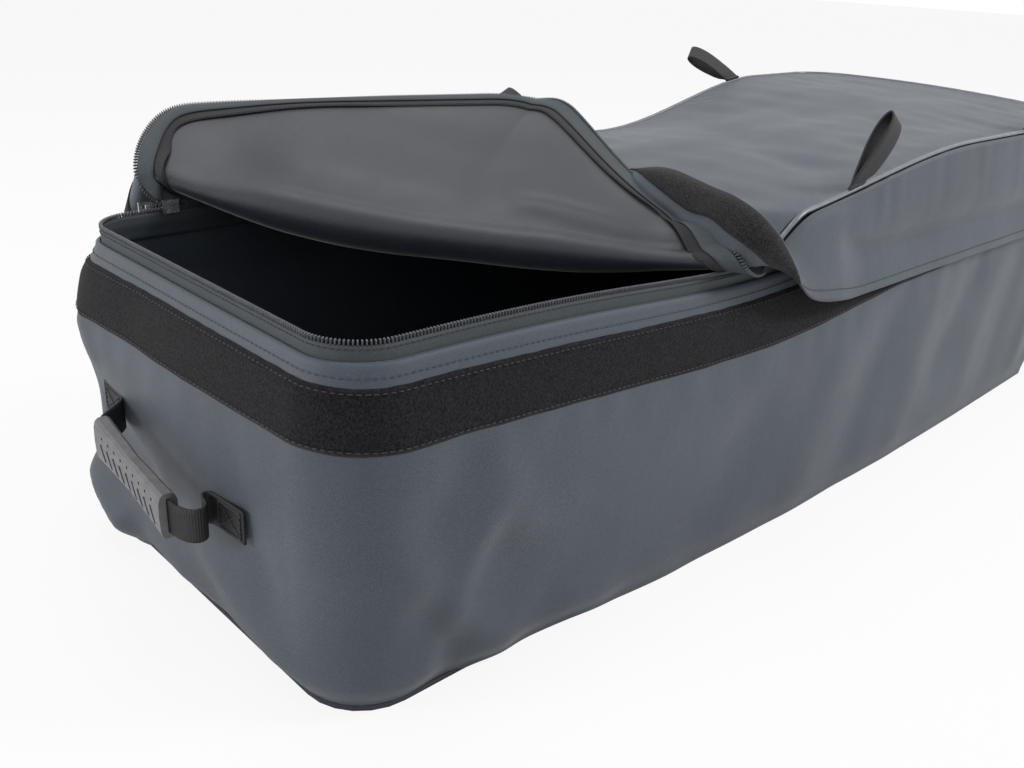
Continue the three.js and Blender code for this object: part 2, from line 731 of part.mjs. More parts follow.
function handleGrip(end) {
  const rings = 9;
  const sides = 14;
  const slope = 2 * handleTilt / (gripFar - gripNear);
  const length = (gripFar - gripNear) * 0.98;
  const outlines = Array.from({ length: rings }, (_, i) => {
    const t = i / (rings - 1);
    const along = (t - 0.5) * length;
    const flare = 1 + 0.1 * Math.cos(2 * Math.PI * t) ** 3;
    return Array.from({ length: sides }, (__, k) => {
      const angle = 2 * Math.PI * (k + 0.5) / sides;
      const round = (v) => Math.sign(v) * Math.abs(v) ** 0.55;
      return point(along, round(Math.sin(angle)) * gripDepth / 2 * flare,
        round(Math.cos(angle)) * gripHeight / 2 * flare);
    });
  });
  let grip = toManifold(bar(outlines));
  const cut = (geometry) => {
    grip = grip.subtract(toManifold(geometry));
  };
  cut(new THREE.BoxGeometry(2 * length, webbingThickness + 2 * gripSlotPlay,
    webbingWidth + 2 * gripSlotPlay));
  const pitch = length * 0.86 / gripSlots;
  for (let i = 0; i < gripSlots; i += 1) {
    const along = (i - (gripSlots - 1) / 2) * pitch;
    const slot = new THREE.BoxGeometry(gripSlotWidth, 2 * gripSlotDepth, gripHeight * 0.42);
    slot.rotateY(radians(24)).translate(along, gripDepth / 2, -gripHeight * 0.14);
    cut(slot);
    const hole = new THREE.CylinderGeometry(gripHoleRadius, gripHoleRadius, 2 * gripSlotDepth, 8);
    hole.translate(along, gripDepth / 2, gripHeight * 0.24);
    cut(hole);
  }
  const geometry = toGeometry(grip);
  geometry.applyMatrix4(new THREE.Matrix4().makeShear(0, slope, 0, 0, 0, 0));
  const centre = (gripFar + gripNear) / 2;
  const turn = end === 'left' ? Math.PI / 2 : -Math.PI / 2;
  geometry.rotateZ(turn);
  const place = handlePlace(end, centre, handleStandOff, handleHeight);
  return geometry.translate(place.x, place.y, place.z);
}

// Tie-down loop: webbing folded into a teardrop, both ends on the piping seam. Its root
// lies along the seam, and further out it turns square to the way that it leans.
function tieLoop(x, side, way) {
  const y = side > 0 ? bagWidth - lidInset : lidInset;
  const edge = clothEdge({ x, y, nx: 0, ny: side });
  const seam = foldedPlace(x + 1, y).sub(foldedPlace(x - 1, y)).normalize();
  const lean = point(...way).normalize();
  const open = lean.clone().cross(seam).normalize();
  const square = open.clone().cross(lean).normalize();
  const root = onCloth(edge, pipingStandOff + pipingRadius, -trimSeat - pipingRadius - seat);
  const steps = 14;
  const outline = Array.from({ length: steps }, (_, i) => {
    const angle = 2 * Math.PI * i / steps;
    const height = loopHeight * (1 - Math.cos(angle)) / 2;
    const wide = loopBulge * Math.sin(angle) * Math.sin(angle / 2) ** 1.2;
    const across = seam.clone().lerp(square, ease(0, loopSettles, height)).normalize();
    const rim = (inset, k) => root.clone()
      .addScaledVector(lean, inset + height * (1 - 2 * inset / loopHeight))
      .addScaledVector(open, wide * (1 - inset / loopBulge))
      .addScaledVector(across, k * webbingWidth / 2);
    return [rim(0, -1), rim(0, 1), rim(webbingThickness, 1), rim(webbingThickness, -1)];
  });
  return bar(outline, true);
}

// Slider and puller on the closed part of the zip, along the far side. The slider's
// plates stand inside and outside the chain, its bail and puller on the outside.
const sliderY = bagWidth - zipInset;
const chainHalf = teethThickness / 2 + sliderPlay;
function box([x0, x1], [y0, y1], [z0, z1]) {
  return new THREE.BoxGeometry(Math.abs(x1 - x0), Math.abs(y1 - y0), Math.abs(z1 - z0))
    .translate((x0 + x1) / 2, (y0 + y1) / 2, (z0 + z1) / 2);
}

function joined(pieces) {
  return pieces.map(toManifold).reduce((sum, piece) => sum.add(piece));
}

const bailStart = sliderStart + (sliderLength - bailLength) / 2;
const pivotX = bailStart + bailLength / 2;
const sliderFace = sliderY + chainHalf + sliderPlate;
const pivotY = sliderFace + bailHeight - bailBar - slotPlay - pullerBar / 2;

function zipSlider() {
  const ends = [sliderStart, sliderStart + sliderLength];
  const half = sliderWidth / 2;
  const slot = tapeThickness / 2 + slotPlay;
  const pieces = [];
  for (const side of [-1, 1]) {
    pieces.push(box(ends,
      [sliderY + side * chainHalf, sliderY + side * (chainHalf + sliderPlate)],
      [zipHeight - half, zipHeight + half]));
    for (const edge of [-1, 1]) {
      pieces.push(box(ends,
        [sliderY + side * slot, sliderY + side * (chainHalf + 0.2)],
        [zipHeight + edge * half, zipHeight + edge * (half - sliderLip)]));
    }
  }
  pieces.push(box([ends[1] - 4, ends[1]],
    [sliderY - chainHalf - 0.2, sliderY + chainHalf + 0.2],
    [zipHeight - sliderPost / 2, zipHeight + sliderPost / 2]));
  const width = [zipHeight - bailWidth / 2, zipHeight + bailWidth / 2];
  const top = sliderFace + bailHeight;
  const bailEnd = bailStart + bailLength;
  pieces.push(box([bailStart, bailEnd], [top - bailBar, top], width));
  pieces.push(box([bailStart, bailStart + bailBar], [sliderFace - 0.2, top], width));
  pieces.push(box([bailEnd - bailBar, bailEnd], [sliderFace - 0.2, top], width));
  return toGeometry(joined(pieces));
}

// The puller lies back along the open teeth, its bar through the slider's bail
function zipPuller() {
  const half = pullerWidth / 2;
  const gap = bailWidth / 2 + slotPlay;
  const deep = [pivotY - pullerThickness / 2, pivotY + pullerThickness / 2];
  const armStart = bailStart - 3;
  const tip = pivotX - pullerLength;
  const pin = new THREE.CylinderGeometry(pullerBar / 2, pullerBar / 2, pullerWidth, 12);
  const pieces = [
    pin.rotateX(Math.PI / 2).translate(pivotX, pivotY, zipHeight),
    box([tip, armStart], deep, [zipHeight - half, zipHeight + half]),
  ];
  for (const side of [-1, 1]) {
    pieces.push(box([armStart - 0.2, pivotX + pullerBar / 2], deep,
      [zipHeight + side * gap, zipHeight + side * half]));
  }
  const hole = box([tip + 3, tip + 3 + pullerHole], [deep[0] - 1, deep[1] + 1],
    [zipHeight - pullerHole / 2, zipHeight + pullerHole / 2]);
  return toGeometry(joined(pieces).subtract(toManifold(hole)));
}

// Stops crimped past the ends of the rows of teeth, one over both rows where they join
function zipStop(end, away, height, share) {
  const place = (beyond) => teethOutline(
    shift({ ...end, y: end.y + away * beyond }, -zipInset, height),
    up.clone().multiplyScalar(share), outwardOf(end));
  return bar([place(2 * seat), place(2 * seat + stopLength)]);
}

// Materials
const cloth = { color: 0x3a434b, roughness: 0.85, metalness: 0 };
const inside = { color: 0x2b323c, roughness: 0.6, metalness: 0 };
const fuzz = { color: 0x2e2c2f, roughness: 1, metalness: 0 };
const tape = { color: 0x454f53, roughness: 0.8, metalness: 0 };
const webbing = { color: 0x1b1b1d, roughness: 0.75, metalness: 0 };
const plastic = { color: 0x17181a, roughness: 0.5, metalness: 0 };
const gripRubber = { color: 0x5f5f62, roughness: 0.55, metalness: 0 };
const shinyCord = { color: 0x24272c, roughness: 0.3, metalness: 0 };
const silver = { color: 0xb9bcc0, roughness: 0.25, metalness: 1 };

const bag = new THREE.Group();
bag.position.set(-bagLength / 2, -bagWidth / 2, 0);

function add(name, geometry, material) {
  const mesh = new THREE.Mesh(geometry, new THREE.MeshStandardMaterial(material));
  mesh.name = name;
  bag.add(mesh);
}

add('base_panel', basePanel, cloth);
add('body_walls', bodyWalls, cloth);
add('loop_band', loopBand, fuzz);
add('body_zip_tape', bodyZipTape(), tape);
add('body_zip_teeth', bodyZipTeeth, plastic);
add('lid_panel', lidPanel(), inside);
add('lid_binding', lidBinding(), tape);
add('lid_piping', lidPiping(), shinyCord);
add('lid_zip_tape', lidZipTape, tape);
add('lid_zip_teeth', lidZipTeeth, plastic);
add('hinge_strip', hingeStrip(), cloth);
add('storm_flap', flapLayer(flapLines, flapNormals, flapThickness / 2, -flapThickness / 2), cloth);
add('hook_tape', hookTape(), fuzz);
add('zip_slider', zipSlider(), silver);
add('zip_puller', zipPuller(), silver);
const [closedEnd, openEnd] = [bodyTeeth[0], bodyTeeth[bodyTeeth.length - 1]];
add('zip_stop_closed_end', zipStop(closedEnd, -1, zipHeight, 2.3), silver);
add('zip_stop_body', zipStop(openEnd, 1, bodyTeethHeight, 1), silver);
add('zip_stop_lid', zipStop(openEnd, 1, lidTeethHeight, 1), silver);

for (const end of ['left', 'right']) {
  add(`handle_strap_${end}`, handleStrap(end), webbing);
  add(`handle_grip_${end}`, handleGrip(end), gripRubber);
}

const loopPlaces = [-1, 0, 1].map((k) => bagLength / 2 + k * loopPitch);
const nearWays = [[0.9, -0.35, -0.3], [0.5, -0.1, 0.83], [0.4, -0.2, 0.85]];
const farWays = [[0.1, -0.9, 0.3], [-0.3, 0.5, 0.5], [-0.6, 0.65, 0.45]];
loopPlaces.forEach((x, i) => {
  add(`tie_loop_near_${i + 1}`, tieLoop(x, -1, nearWays[i]), webbing);
  add(`tie_loop_far_${i + 1}`, tieLoop(x, 1, farWays[i]), webbing);
});

export default bag;
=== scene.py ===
import math

import bpy
import numpy as np
from mathutils import Matrix


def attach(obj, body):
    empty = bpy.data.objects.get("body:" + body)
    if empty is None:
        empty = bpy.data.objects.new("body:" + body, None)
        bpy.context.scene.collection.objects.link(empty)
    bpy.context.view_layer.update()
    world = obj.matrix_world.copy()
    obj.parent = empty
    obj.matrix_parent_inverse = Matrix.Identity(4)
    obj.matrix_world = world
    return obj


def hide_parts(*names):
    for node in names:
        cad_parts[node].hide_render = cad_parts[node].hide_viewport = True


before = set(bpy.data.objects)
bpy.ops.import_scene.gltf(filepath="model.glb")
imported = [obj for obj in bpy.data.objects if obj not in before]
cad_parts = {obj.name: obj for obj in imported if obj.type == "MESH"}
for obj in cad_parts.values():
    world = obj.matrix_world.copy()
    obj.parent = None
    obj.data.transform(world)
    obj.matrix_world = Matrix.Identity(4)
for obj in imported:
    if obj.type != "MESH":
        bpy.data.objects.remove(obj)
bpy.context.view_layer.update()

# Sizes in millimetres, in a frame whose origin is the bag's near left corner on the ground
MM = 0.001
LENGTH, WIDTH = 1090.0, 400.0
CORNER = 58.0
WALL_TOP = 251.0
SHOULDER = 190.0
RIM_INSET = 14.0
RIM_IN, RIM_UP = (1.4, 3.0), (1.2, 1.4)
BELLY = 8.0
CLOTH = 2.2
SEAT = 0.3
BAND_BOTTOM, BAND_TOP = 199.0, 239.0
BAND_THICKNESS, FLAP_THICKNESS, HOOK_THICKNESS = 1.8, 1.6, 1.4
FLAP_CLEARANCE = 1.2
HEM_HEIGHT = 202.0
ZIP_HEIGHT = 266.0
ZIP_INSET = 17.8
TEETH = 3.4
TEETH_PITCH = 2.65
TAPE_TOP = 261.8
TAPE_THICKNESS = 1.0
TAPE_INSET, TAPE_STITCH_INSET, TAPE_BEHIND_WALL = 17.4, 16.7, 3.4
ZIP_TAIL = 30.0
HINGE_CLEARANCE = 8.2
BODY_STEP, LID_STEP = 5.0, 4.0

# Lid: closed heights, the fold line and the leaf that lies folded back
LID_INSET = 8.0
LID_THICKNESS = 2.4
LID_LOW, LID_HIGH_NEAR, LID_HIGH_FAR = 281.0, 318.0, 330.0
NEAR_RISE, FAR_RISE = (380.0, 760.0), (640.0, 940.0)
LID_CROWN = 6.0
FOLD_FAR_X, FOLD_NEAR_X = 92.0, 402.0
FOLD_RADII = (13.0, 17.0)
FOLD_SETTLES = (-60.0, 90.0)
FOLD_FLATTENS, FOLD_FLATTEST = (300.0, 490.0), 0.4
SAG_REACH = (52.0, 230.0)
CORNER_DRAW = 0.4
SLIDER_START = 82.0
SLIDER_CLEARANCE = 2.0
BINDING = (3.4, 16.4)
BINDING_THICKNESS = 1.0
TRIM_SEAT = 1.1
PIPING_RADIUS, PIPING_STAND_OFF = 2.2, 0.6
NEAR_TAPE_TURNS, FAR_TAPE_TURN = (-32.0, 0.0), 13.0
TAPE_HINGE, TAPE_REACH = 1.0, 8.5
LEAF_FLAP, TUCKED_FLAP, CORNER_FLAP = 92.0, 60.0, 46.0
FLAP_TURNS, FAR_FLAP_TURNS = (-100.0, 4.0), (-32.0, 6.0)
LEAF_DROPS = (35.0, 68.0)
FLAP_SLACK = 9.0

# Where the flap's hem lies as it curls up at the near end of the fold: x, y and z by the
# distance beyond the fold line, chosen on the photograph
HEM_TURN = ((-128, -100, -72, -45, -20, 0, 20, 45, 75, 110, 150, 200, 240),
            (568, 534, 502, 468, 444, 426, 405, 391, 398, 412, 426, 436, 442),
            (-11, -12, -13, -16, -19, -20, -15, -2, 30, 68, 108, 158, 198),
            (202, 203, 207, 215, 229, 252, 280, 298, 305, 306, 306, 304, 300))

# Heights of the fold line and of the leaf's edge, by the distance along the fold, worked
# out from points on the photograph. LEAF_DRAW is how far the leaf's near corner,
# which is LEAF_CORNER along and beyond the fold, is drawn along and back
FOLD_HEIGHTS = ((0, 25, 60, 100, 150, 200, 250, 300, 350, 400, 445, 493),
                (281, 273, 262, 252, 245, 240, 237, 235, 236, 240, 246, 254))
LEAF_HEIGHTS = ((-60, 0, 60, 150, 246, 277, 308, 339, 370, 400, 431, 462, 493),
                (330, 334, 338, 342, 346, 337, 320, 303, 289, 278, 268, 261, 257))
LEAF_CORNER = (246.0, 307.0)
LEAF_DRAW = (48.0, -52.0)

# Handles and loops
WEBBING_WIDTH, WEBBING = 25.0, 1.8
HANDLE_HEIGHT, HANDLE_TILT, HANDLE_OUT = 127.0, 10.0, 36.0
PATCH_FAR, PATCH_NEAR = (324.0, 286.0), (141.0, 102.0)
GRIP_FAR, GRIP_NEAR = 250.0, 147.0
STRAP_TURN = 7.0
PATCH_MARGIN, STITCH_MARGIN = 3.0, 2.5
LOOP_PITCH, LOOP_HEIGHT, LOOP_BULGE, LOOP_SETTLES = 347.0, 68.0, 9.0, 24.0


def mix(a, b, t):
    return a + (b - a) * t


def ease(a, b, x):
    t = np.clip((np.asarray(x, float) - a) / (b - a), 0.0, 1.0)
    return t * t * (3.0 - 2.0 * t)


def unit(v):
    return v / np.maximum(np.linalg.norm(v, axis=-1, keepdims=True), 1e-9)


def to_frame(points):
    return (np.asarray(points, float) - np.array([LENGTH / 2, WIDTH / 2, 0.0])) * MM


def waves(p, q, seed, count=5, long=160.0, short=60.0):
    """A smooth uneven surface from a few crossing waves, about -1 to 1."""
    rng = np.random.default_rng(seed)
    total = np.zeros(np.broadcast(p, q).shape)
    for _ in range(count):
        angle, phase = rng.uniform(0, math.pi), rng.uniform(0, 2 * math.pi)
        length = rng.uniform(short, long)
        along = p * math.cos(angle) + q * math.sin(angle)
        total += np.sin(2 * math.pi * along / length + phase)
    return total / count


def crease(p, q, start, end, width):
    """1 along a line between two places, falling off to its sides and ends."""
    a, b = np.array(start, float), np.array(end, float)
    length = np.linalg.norm(b - a)
    way = (b - a) / length
    along = (p - a[0]) * way[0] + (q - a[1]) * way[1]
    across = -(p - a[0]) * way[1] + (q - a[1]) * way[0]
    ends = ease(-0.15 * length, 0.2 * length, along) * ease(1.15 * length, 0.8 * length, along)
    return np.exp(-(across / width) ** 2) * ends


def creases(p, q, table):
    """The sum of a table of creases: start, end, half width and height in millimetres."""
    return sum(high * crease(p, q, start, end, width) for start, end, width, high in table)


# Meshes

def lengths(points, axis):
    """Mean distance travelled along one axis of a grid of points."""
    step = np.linalg.norm(np.diff(points, axis=axis), axis=-1)
    return np.append(0.0, np.cumsum(step.mean(axis=1 - axis)))


def travelled(path):
    """The distance from a path's first point to each of its points."""
    return np.append(0.0, np.cumsum(np.linalg.norm(np.diff(path, axis=0), axis=1)))


def follow(values, knots, at):
    """Values given at the knots of a path, at other places along it."""
    return np.stack([np.interp(at, knots, values[:, k]) for k in range(3)], 1)


def add_piece(name, points, faces, material, uvs=None):
    mesh = bpy.data.meshes.new(name)
    mesh.from_pydata(to_frame(points).tolist(), [], faces)
    mesh.update()
    if uvs is not None:
        layer = mesh.uv_layers.new(name="UVMap")
        layer.data.foreach_set("uv", np.asarray(uvs, float).ravel() * MM)
    mesh.shade_smooth()
    piece = bpy.data.objects.new(name, mesh)
    bpy.context.scene.collection.objects.link(piece)
    mesh.materials.append(material)
    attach(piece, "bag")
    return piece


def sheet_piece(name, rows, material, node, ring=False, thickness=0.0, offset=0.0):
    """A sheet through a grid of points, rows[i, j], with its cloth lengths as UVs. It takes
    the place of a node of the part."""
    count, width = rows.shape[:2]
    spans = count if ring else count - 1
    i = np.repeat(np.arange(spans), width - 1)
    j = np.tile(np.arange(width - 1), spans)
    after = (i + 1) % count
    faces = np.stack([i * width + j, after * width + j, after * width + j + 1,
                      i * width + j + 1], axis=1)
    closed = np.concatenate([rows, rows[:1]]) if ring else rows
    u, v = lengths(closed, 0), lengths(rows, 1)
    uvs = np.stack([np.stack([u[i], v[j]], 1), np.stack([u[i + 1], v[j]], 1),
                    np.stack([u[i + 1], v[j + 1]], 1), np.stack([u[i], v[j + 1]], 1)], axis=1)
    piece = add_piece(name, rows.reshape(-1, 3), faces.tolist(), material, uvs)
    if thickness:
        thick = piece.modifiers.new("thickness", "SOLIDIFY")
        thick.thickness = thickness * MM
        thick.offset = offset
    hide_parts(node)
    return piece


def row_normals(rows, ring=False):
    if ring:
        along = np.roll(rows, -1, axis=0) - np.roll(rows, 1, axis=0)
    else:
        along = np.gradient(rows, axis=0)
    across = np.gradient(rows, axis=1)
    return unit(np.cross(along, across))


def resample(rows, count):
    """Each row of points drawn through by a smooth curve of count points."""
    knots = lengths(rows, 1)
    at = np.linspace(0, knots[-1], count)
    slopes = np.gradient(rows, knots, axis=1)
    k = np.clip(np.searchsorted(knots, at, side="right") - 1, 0, len(knots) - 2)
    span = knots[k + 1] - knots[k]
    t = ((at - knots[k]) / span)[None, :, None]
    span = span[None, :, None]
    start, leaving = 2 * t ** 3 - 3 * t ** 2 + 1, t ** 3 - 2 * t ** 2 + t
    end, arriving = -2 * t ** 3 + 3 * t ** 2, t ** 3 - t ** 2
    return (start * rows[:, k] + leaving * span * slopes[:, k]
            + end * rows[:, k + 1] + arriving * span * slopes[:, k + 1])


def cord_piece(name, centres, radius, sides, material, node):
    """A round cord through a closed ring of centres."""
    tangent = unit(np.roll(centres, -1, 0) - np.roll(centres, 1, 0))
    side = unit(np.cross(tangent, [0.0, 0.0, 1.0]) + 1e-6)
    top = np.cross(side, tangent)
    angle = 2 * math.pi * np.arange(sides + 1) / sides
    around = (np.cos(angle)[None, :, None] * side[:, None]
              + np.sin(angle)[None, :, None] * top[:, None])
    rows = centres[:, None] + radius[:, None, None] * around
    sheet_piece(name, rows, material, node, ring=True)


def repeated_piece(name, shape, faces, centres, axes, material, slot):
    """Many copies of one small shape as one mesh, each turned to its own three axes."""
    shape = np.asarray(shape, float)
    x, y, z = (np.asarray(a, float)[:, None] for a in axes)
    points = (centres[:, None] + shape[None, :, 0:1] * x + shape[None, :, 1:2] * y
              + shape[None, :, 2:3] * z)
    first = len(shape) * np.arange(len(centres))[:, None]
    every = []
    for face in faces:
        every.extend((np.array(face)[None] + first).tolist())
    return add_piece(name, points.reshape(-1, 3), every, material)


def bead(rings, sides):
    """A closed bead along x: rings of (x, half height, half width) about the axis."""
    points, faces = [], []
    for x, high, wide in rings:
        for k in range(sides):
            angle = 2 * math.pi * (k + 0.5) / sides
            points.append((x, wide * math.cos(angle), high * math.sin(angle)))
    for r in range(len(rings) - 1):
        for k in range(sides):
            a, b = r * sides + k, r * sides + (k + 1) % sides
            faces.append((a, b, b + sides, a + sides))
    faces.append(tuple(range(sides))[::-1])
    last = (len(rings) - 1) * sides
    faces.append(tuple(last + k for k in range(sides)))
    return points, faces


STITCH = bead([(-1.7, 0.12, 0.2), (-1.2, 0.42, 0.42), (1.2, 0.42, 0.42), (1.7, 0.12, 0.2)], 6)


def along_path(path, normals, pitch):
    """Places at even steps along a path, with the tangent, side and normal at each."""
    knots = travelled(path)
    count = max(2, int(knots[-1] / pitch))
    at = (np.arange(count) + 0.5) * knots[-1] / count
    normal = unit(follow(normals, knots, at))
    tangent = unit(follow(path, knots, at + 0.5) - follow(path, knots, at - 0.5))
    side = unit(np.cross(normal, tangent))
    return follow(path, knots, at), tangent, side, np.cross(tangent, side)


def stitches(name, path, normals, material, slot, pitch=5.2):
    places, tangent, side, normal = along_path(path, normals, pitch)
    return repeated_piece(name, *STITCH, places + normal * 0.15, (tangent, side, normal),
                          material, slot)


# Materials

def linear(r, g, b):
    def one(c):
        c = c / 255
        return c / 12.92 if c <= 0.04045 else ((c + 0.055) / 1.055) ** 2.4
    return (one(r), one(g), one(b), 1.0)


# Noise lies between these nearly everywhere
NOISE_LOW, NOISE_HIGH = 0.3, 0.7


class Look:
    """A node material in the making."""

    def __init__(self, name, colour, roughness, **sockets):
        self.material = bpy.data.materials.new(name)
        self.material.use_nodes = True
        self.tree = self.material.node_tree
        self.shader = self.tree.nodes["Principled BSDF"]
        self.colour = linear(*colour)
        self.shader.inputs["Base Color"].default_value = self.colour
        self.shader.inputs["Roughness"].default_value = roughness
        for socket, value in sockets.items():
            self.shader.inputs[socket.replace("_", " ")].default_value = value
        self.height = None

    def feed(self, socket, value):
        if isinstance(value, bpy.types.NodeSocket):
            self.tree.links.new(value, socket)
        else:
            socket.default_value = value

    def node(self, kind, **inputs):
        made = self.tree.nodes.new(kind)
        for name, value in inputs.items():
            self.feed(made.inputs[name.replace("_", " ")], value)
        return made

    def math(self, operation, a, b):
        made = self.tree.nodes.new("ShaderNodeMath")
        made.operation = operation
        for socket, value in zip(made.inputs, (a, b)):
            self.feed(socket, value)
        return made.outputs[0]

    def places(self, kind):
        return self.tree.nodes.new("ShaderNodeTexCoord").outputs[kind]

    def noise(self, scale, detail=3.0):
        made = self.node("ShaderNodeTexNoise", Vector=self.places("Object"),
                         Scale=scale, Detail=detail)
        return made.outputs["Fac"]

    def bands(self, pitch, angle=0.0):
        """Stripes a pitch apart, in millimetres of the cloth's own lengths."""
        turned = self.node("ShaderNodeMapping", Vector=self.places("UV"),
                           Rotation=(0.0, 0.0, angle))
        wave = self.node("ShaderNodeTexWave", Vector=turned.outputs["Vector"],
                         Scale=0.314 / (pitch * MM), Distortion=0.0)
        return wave.outputs["Fac"]

    def vary(self, source, low, high):
        """Scales the base colour between two factors."""
        level = self.node("ShaderNodeMapRange", Value=source, From_Min=NOISE_LOW,
                          From_Max=NOISE_HIGH, To_Min=low, To_Max=high)
        before = self.shader.inputs["Base Color"]
        blend = self.tree.nodes.new("ShaderNodeMix")
        blend.data_type = "RGBA"
        blend.blend_type = "MULTIPLY"
        blend.inputs["Factor"].default_value = 1.0
        linked = before.is_linked
        self.feed(blend.inputs["A"], before.links[0].from_socket if linked else self.colour)
        grey = self.node("ShaderNodeCombineColor", Red=level.outputs["Result"],
                         Green=level.outputs["Result"], Blue=level.outputs["Result"])
        self.tree.links.new(grey.outputs["Color"], blend.inputs["B"])
        self.tree.links.new(blend.outputs["Result"], before)

    def bump(self, source, depth, strength=1.0):
        made = self.node("ShaderNodeBump", Height=source, Strength=strength,
                         Distance=depth * MM)
        if self.height:
            self.tree.links.new(self.height.outputs["Normal"], made.inputs["Normal"])
        self.tree.links.new(made.outputs["Normal"], self.shader.inputs["Normal"])
        self.height = made

    def rough(self, source, low, high):
        level = self.node("ShaderNodeMapRange", Value=source, To_Min=low, To_Max=high)
        self.tree.links.new(level.outputs["Result"], self.shader.inputs["Roughness"])


def woven(name, colour, roughness, pitch=1.2, depth=0.12, **sockets):
    """Coated plain weave: two sets of threads, with slight unevenness in tone."""
    look = Look(name, colour, roughness, **sockets)
    warp, weft = look.bands(pitch, math.pi / 4), look.bands(pitch, -math.pi / 4)
    weave = look.math("MULTIPLY", warp, weft)
    look.vary(weave, 0.84, 1.14)
    look.vary(look.noise(6.0, 5.0), 0.9, 1.1)
    look.vary(look.noise(800.0, 2.0), 0.86, 1.16)
    look.bump(weave, depth, 0.7)
    look.bump(look.noise(18.0, 4.0), 2.2, 0.45)
    look.bump(look.noise(60.0, 4.0), 0.5, 0.35)
    look.rough(look.noise(30.0), roughness - 0.06, roughness + 0.06)
    return look.material


def fuzzy(name, colour, low, high, scale):
    look = Look(name, colour, 0.95, Sheen_Weight=0.08, Sheen_Roughness=0.6, Specular_IOR_Level=0.12)
    pile = look.noise(scale, 2.0)
    look.vary(pile, low, high)
    look.vary(look.noise(2.3 * scale, 1.0), 0.6, 1.5)
    look.vary(look.noise(120.0, 3.0), 0.88, 1.12)
    look.bump(pile, 0.7, 0.6)
    return look.material


def ribbed(name, colour, pitch, roughness=0.6):
    look = Look(name, colour, roughness)
    ribs = look.bands(pitch)
    cross = look.bands(pitch * 0.8, math.pi / 2)
    look.vary(ribs, 0.6, 1.35)
    look.vary(cross, 0.85, 1.1)
    look.bump(look.math("ADD", ribs, look.math("MULTIPLY", cross, 0.4)), 0.45, 0.8)
    return look.material


outer_cloth = woven("outer_cloth_look", (78, 86, 96), 0.52, Sheen_Weight=0.15,
                    Specular_IOR_Level=0.35)
inner_cloth = woven("lid_inner_look", (40, 45, 54), 0.44, pitch=1.5, Sheen_Weight=0.3,
                    Sheen_Roughness=0.32)
floor_cloth = woven("base_look", (58, 62, 70), 0.6)
tape_cloth = woven("zip_tape_look", (66, 74, 79), 0.7, pitch=1.6, depth=0.2)
binding_cloth = woven("binding_look", (36, 34, 36), 0.75, pitch=1.8, depth=0.25)
loop_pile = fuzzy("loop_pile_look", (24, 23, 26), 0.15, 2.2, 620.0)
hook_pile = fuzzy("hook_tape_look", (40, 39, 40), 0.4, 1.9, 700.0)
webbing_look = ribbed("webbing_look", (31, 31, 33), 1.7)
thread_look = Look("thread_look", (50, 55, 62), 0.5).material
dark_thread_look = Look("dark_thread_look", (34, 35, 38), 0.5).material


def plastic(name, colour, roughness, **sockets):
    look = Look(name, colour, roughness, **sockets)
    look.vary(look.noise(160.0, 3.0), 0.85, 1.15)
    look.rough(look.noise(260.0, 3.0), roughness - 0.08, roughness + 0.1)
    look.bump(look.noise(900.0, 2.0), 0.08, 0.4)
    return look.material


teeth_look = plastic("zip_teeth_look", (78, 80, 85), 0.32)
# Piping cord: really glossy black; its base colour is lightened to a mid grey-blue as painted highlight,
# and the clear coat gives real gloss on top
piping_painted_highlight_look = plastic("piping_painted_highlight_look", (104, 110, 120), 0.3, Coat_Weight=0.4, Coat_Roughness=0.25)
grip_look = plastic("grip_look", (112, 111, 114), 0.36)


def bright_metal():
    look = Look("bright_metal_look", (226, 227, 230), 0.22, Metallic=1.0)
    look.vary(look.noise(300.0, 3.0), 0.85, 1.1)
    look.rough(look.noise(220.0, 4.0), 0.14, 0.34)
    look.bump(look.noise(500.0, 3.0), 0.05, 0.4)
    return look.material


metal_look = bright_metal()


# Walls

class Ring:
    """Stations on a level outline, xy, each with the way out of the outline, n, and middle,
    which is 1 halfway along a straight side and 0 at its ends."""

    def __init__(self, xy, n, middle):
        self.xy, self.n, self.middle = xy, n, middle

    def part(self, keep):
        """The stations that keep holds for, in order from the one after a gap."""
        gap = np.flatnonzero(keep & ~np.roll(keep, 1))
        order = np.roll(np.arange(len(keep)), -gap[0])
        order = order[keep[order]]
        return Ring(self.xy[order], self.n[order], self.middle[order])

    def run(self):
        return travelled(self.xy)

    def level_out(self):
        """The way out at each station, in three dimensions."""
        return np.append(self.n, np.zeros((len(self.n), 1)), 1)

    def shift(self, out, z):
        """Places that lie out from the stations at heights z, one or a row for each."""
        out, z = np.broadcast_arrays(out, z)
        xy, n = (v.reshape(len(v), *[1] * (out.ndim - 1), 2) for v in (self.xy, self.n))
        return np.concatenate([xy + n * out[..., None], z[..., None]], axis=-1)


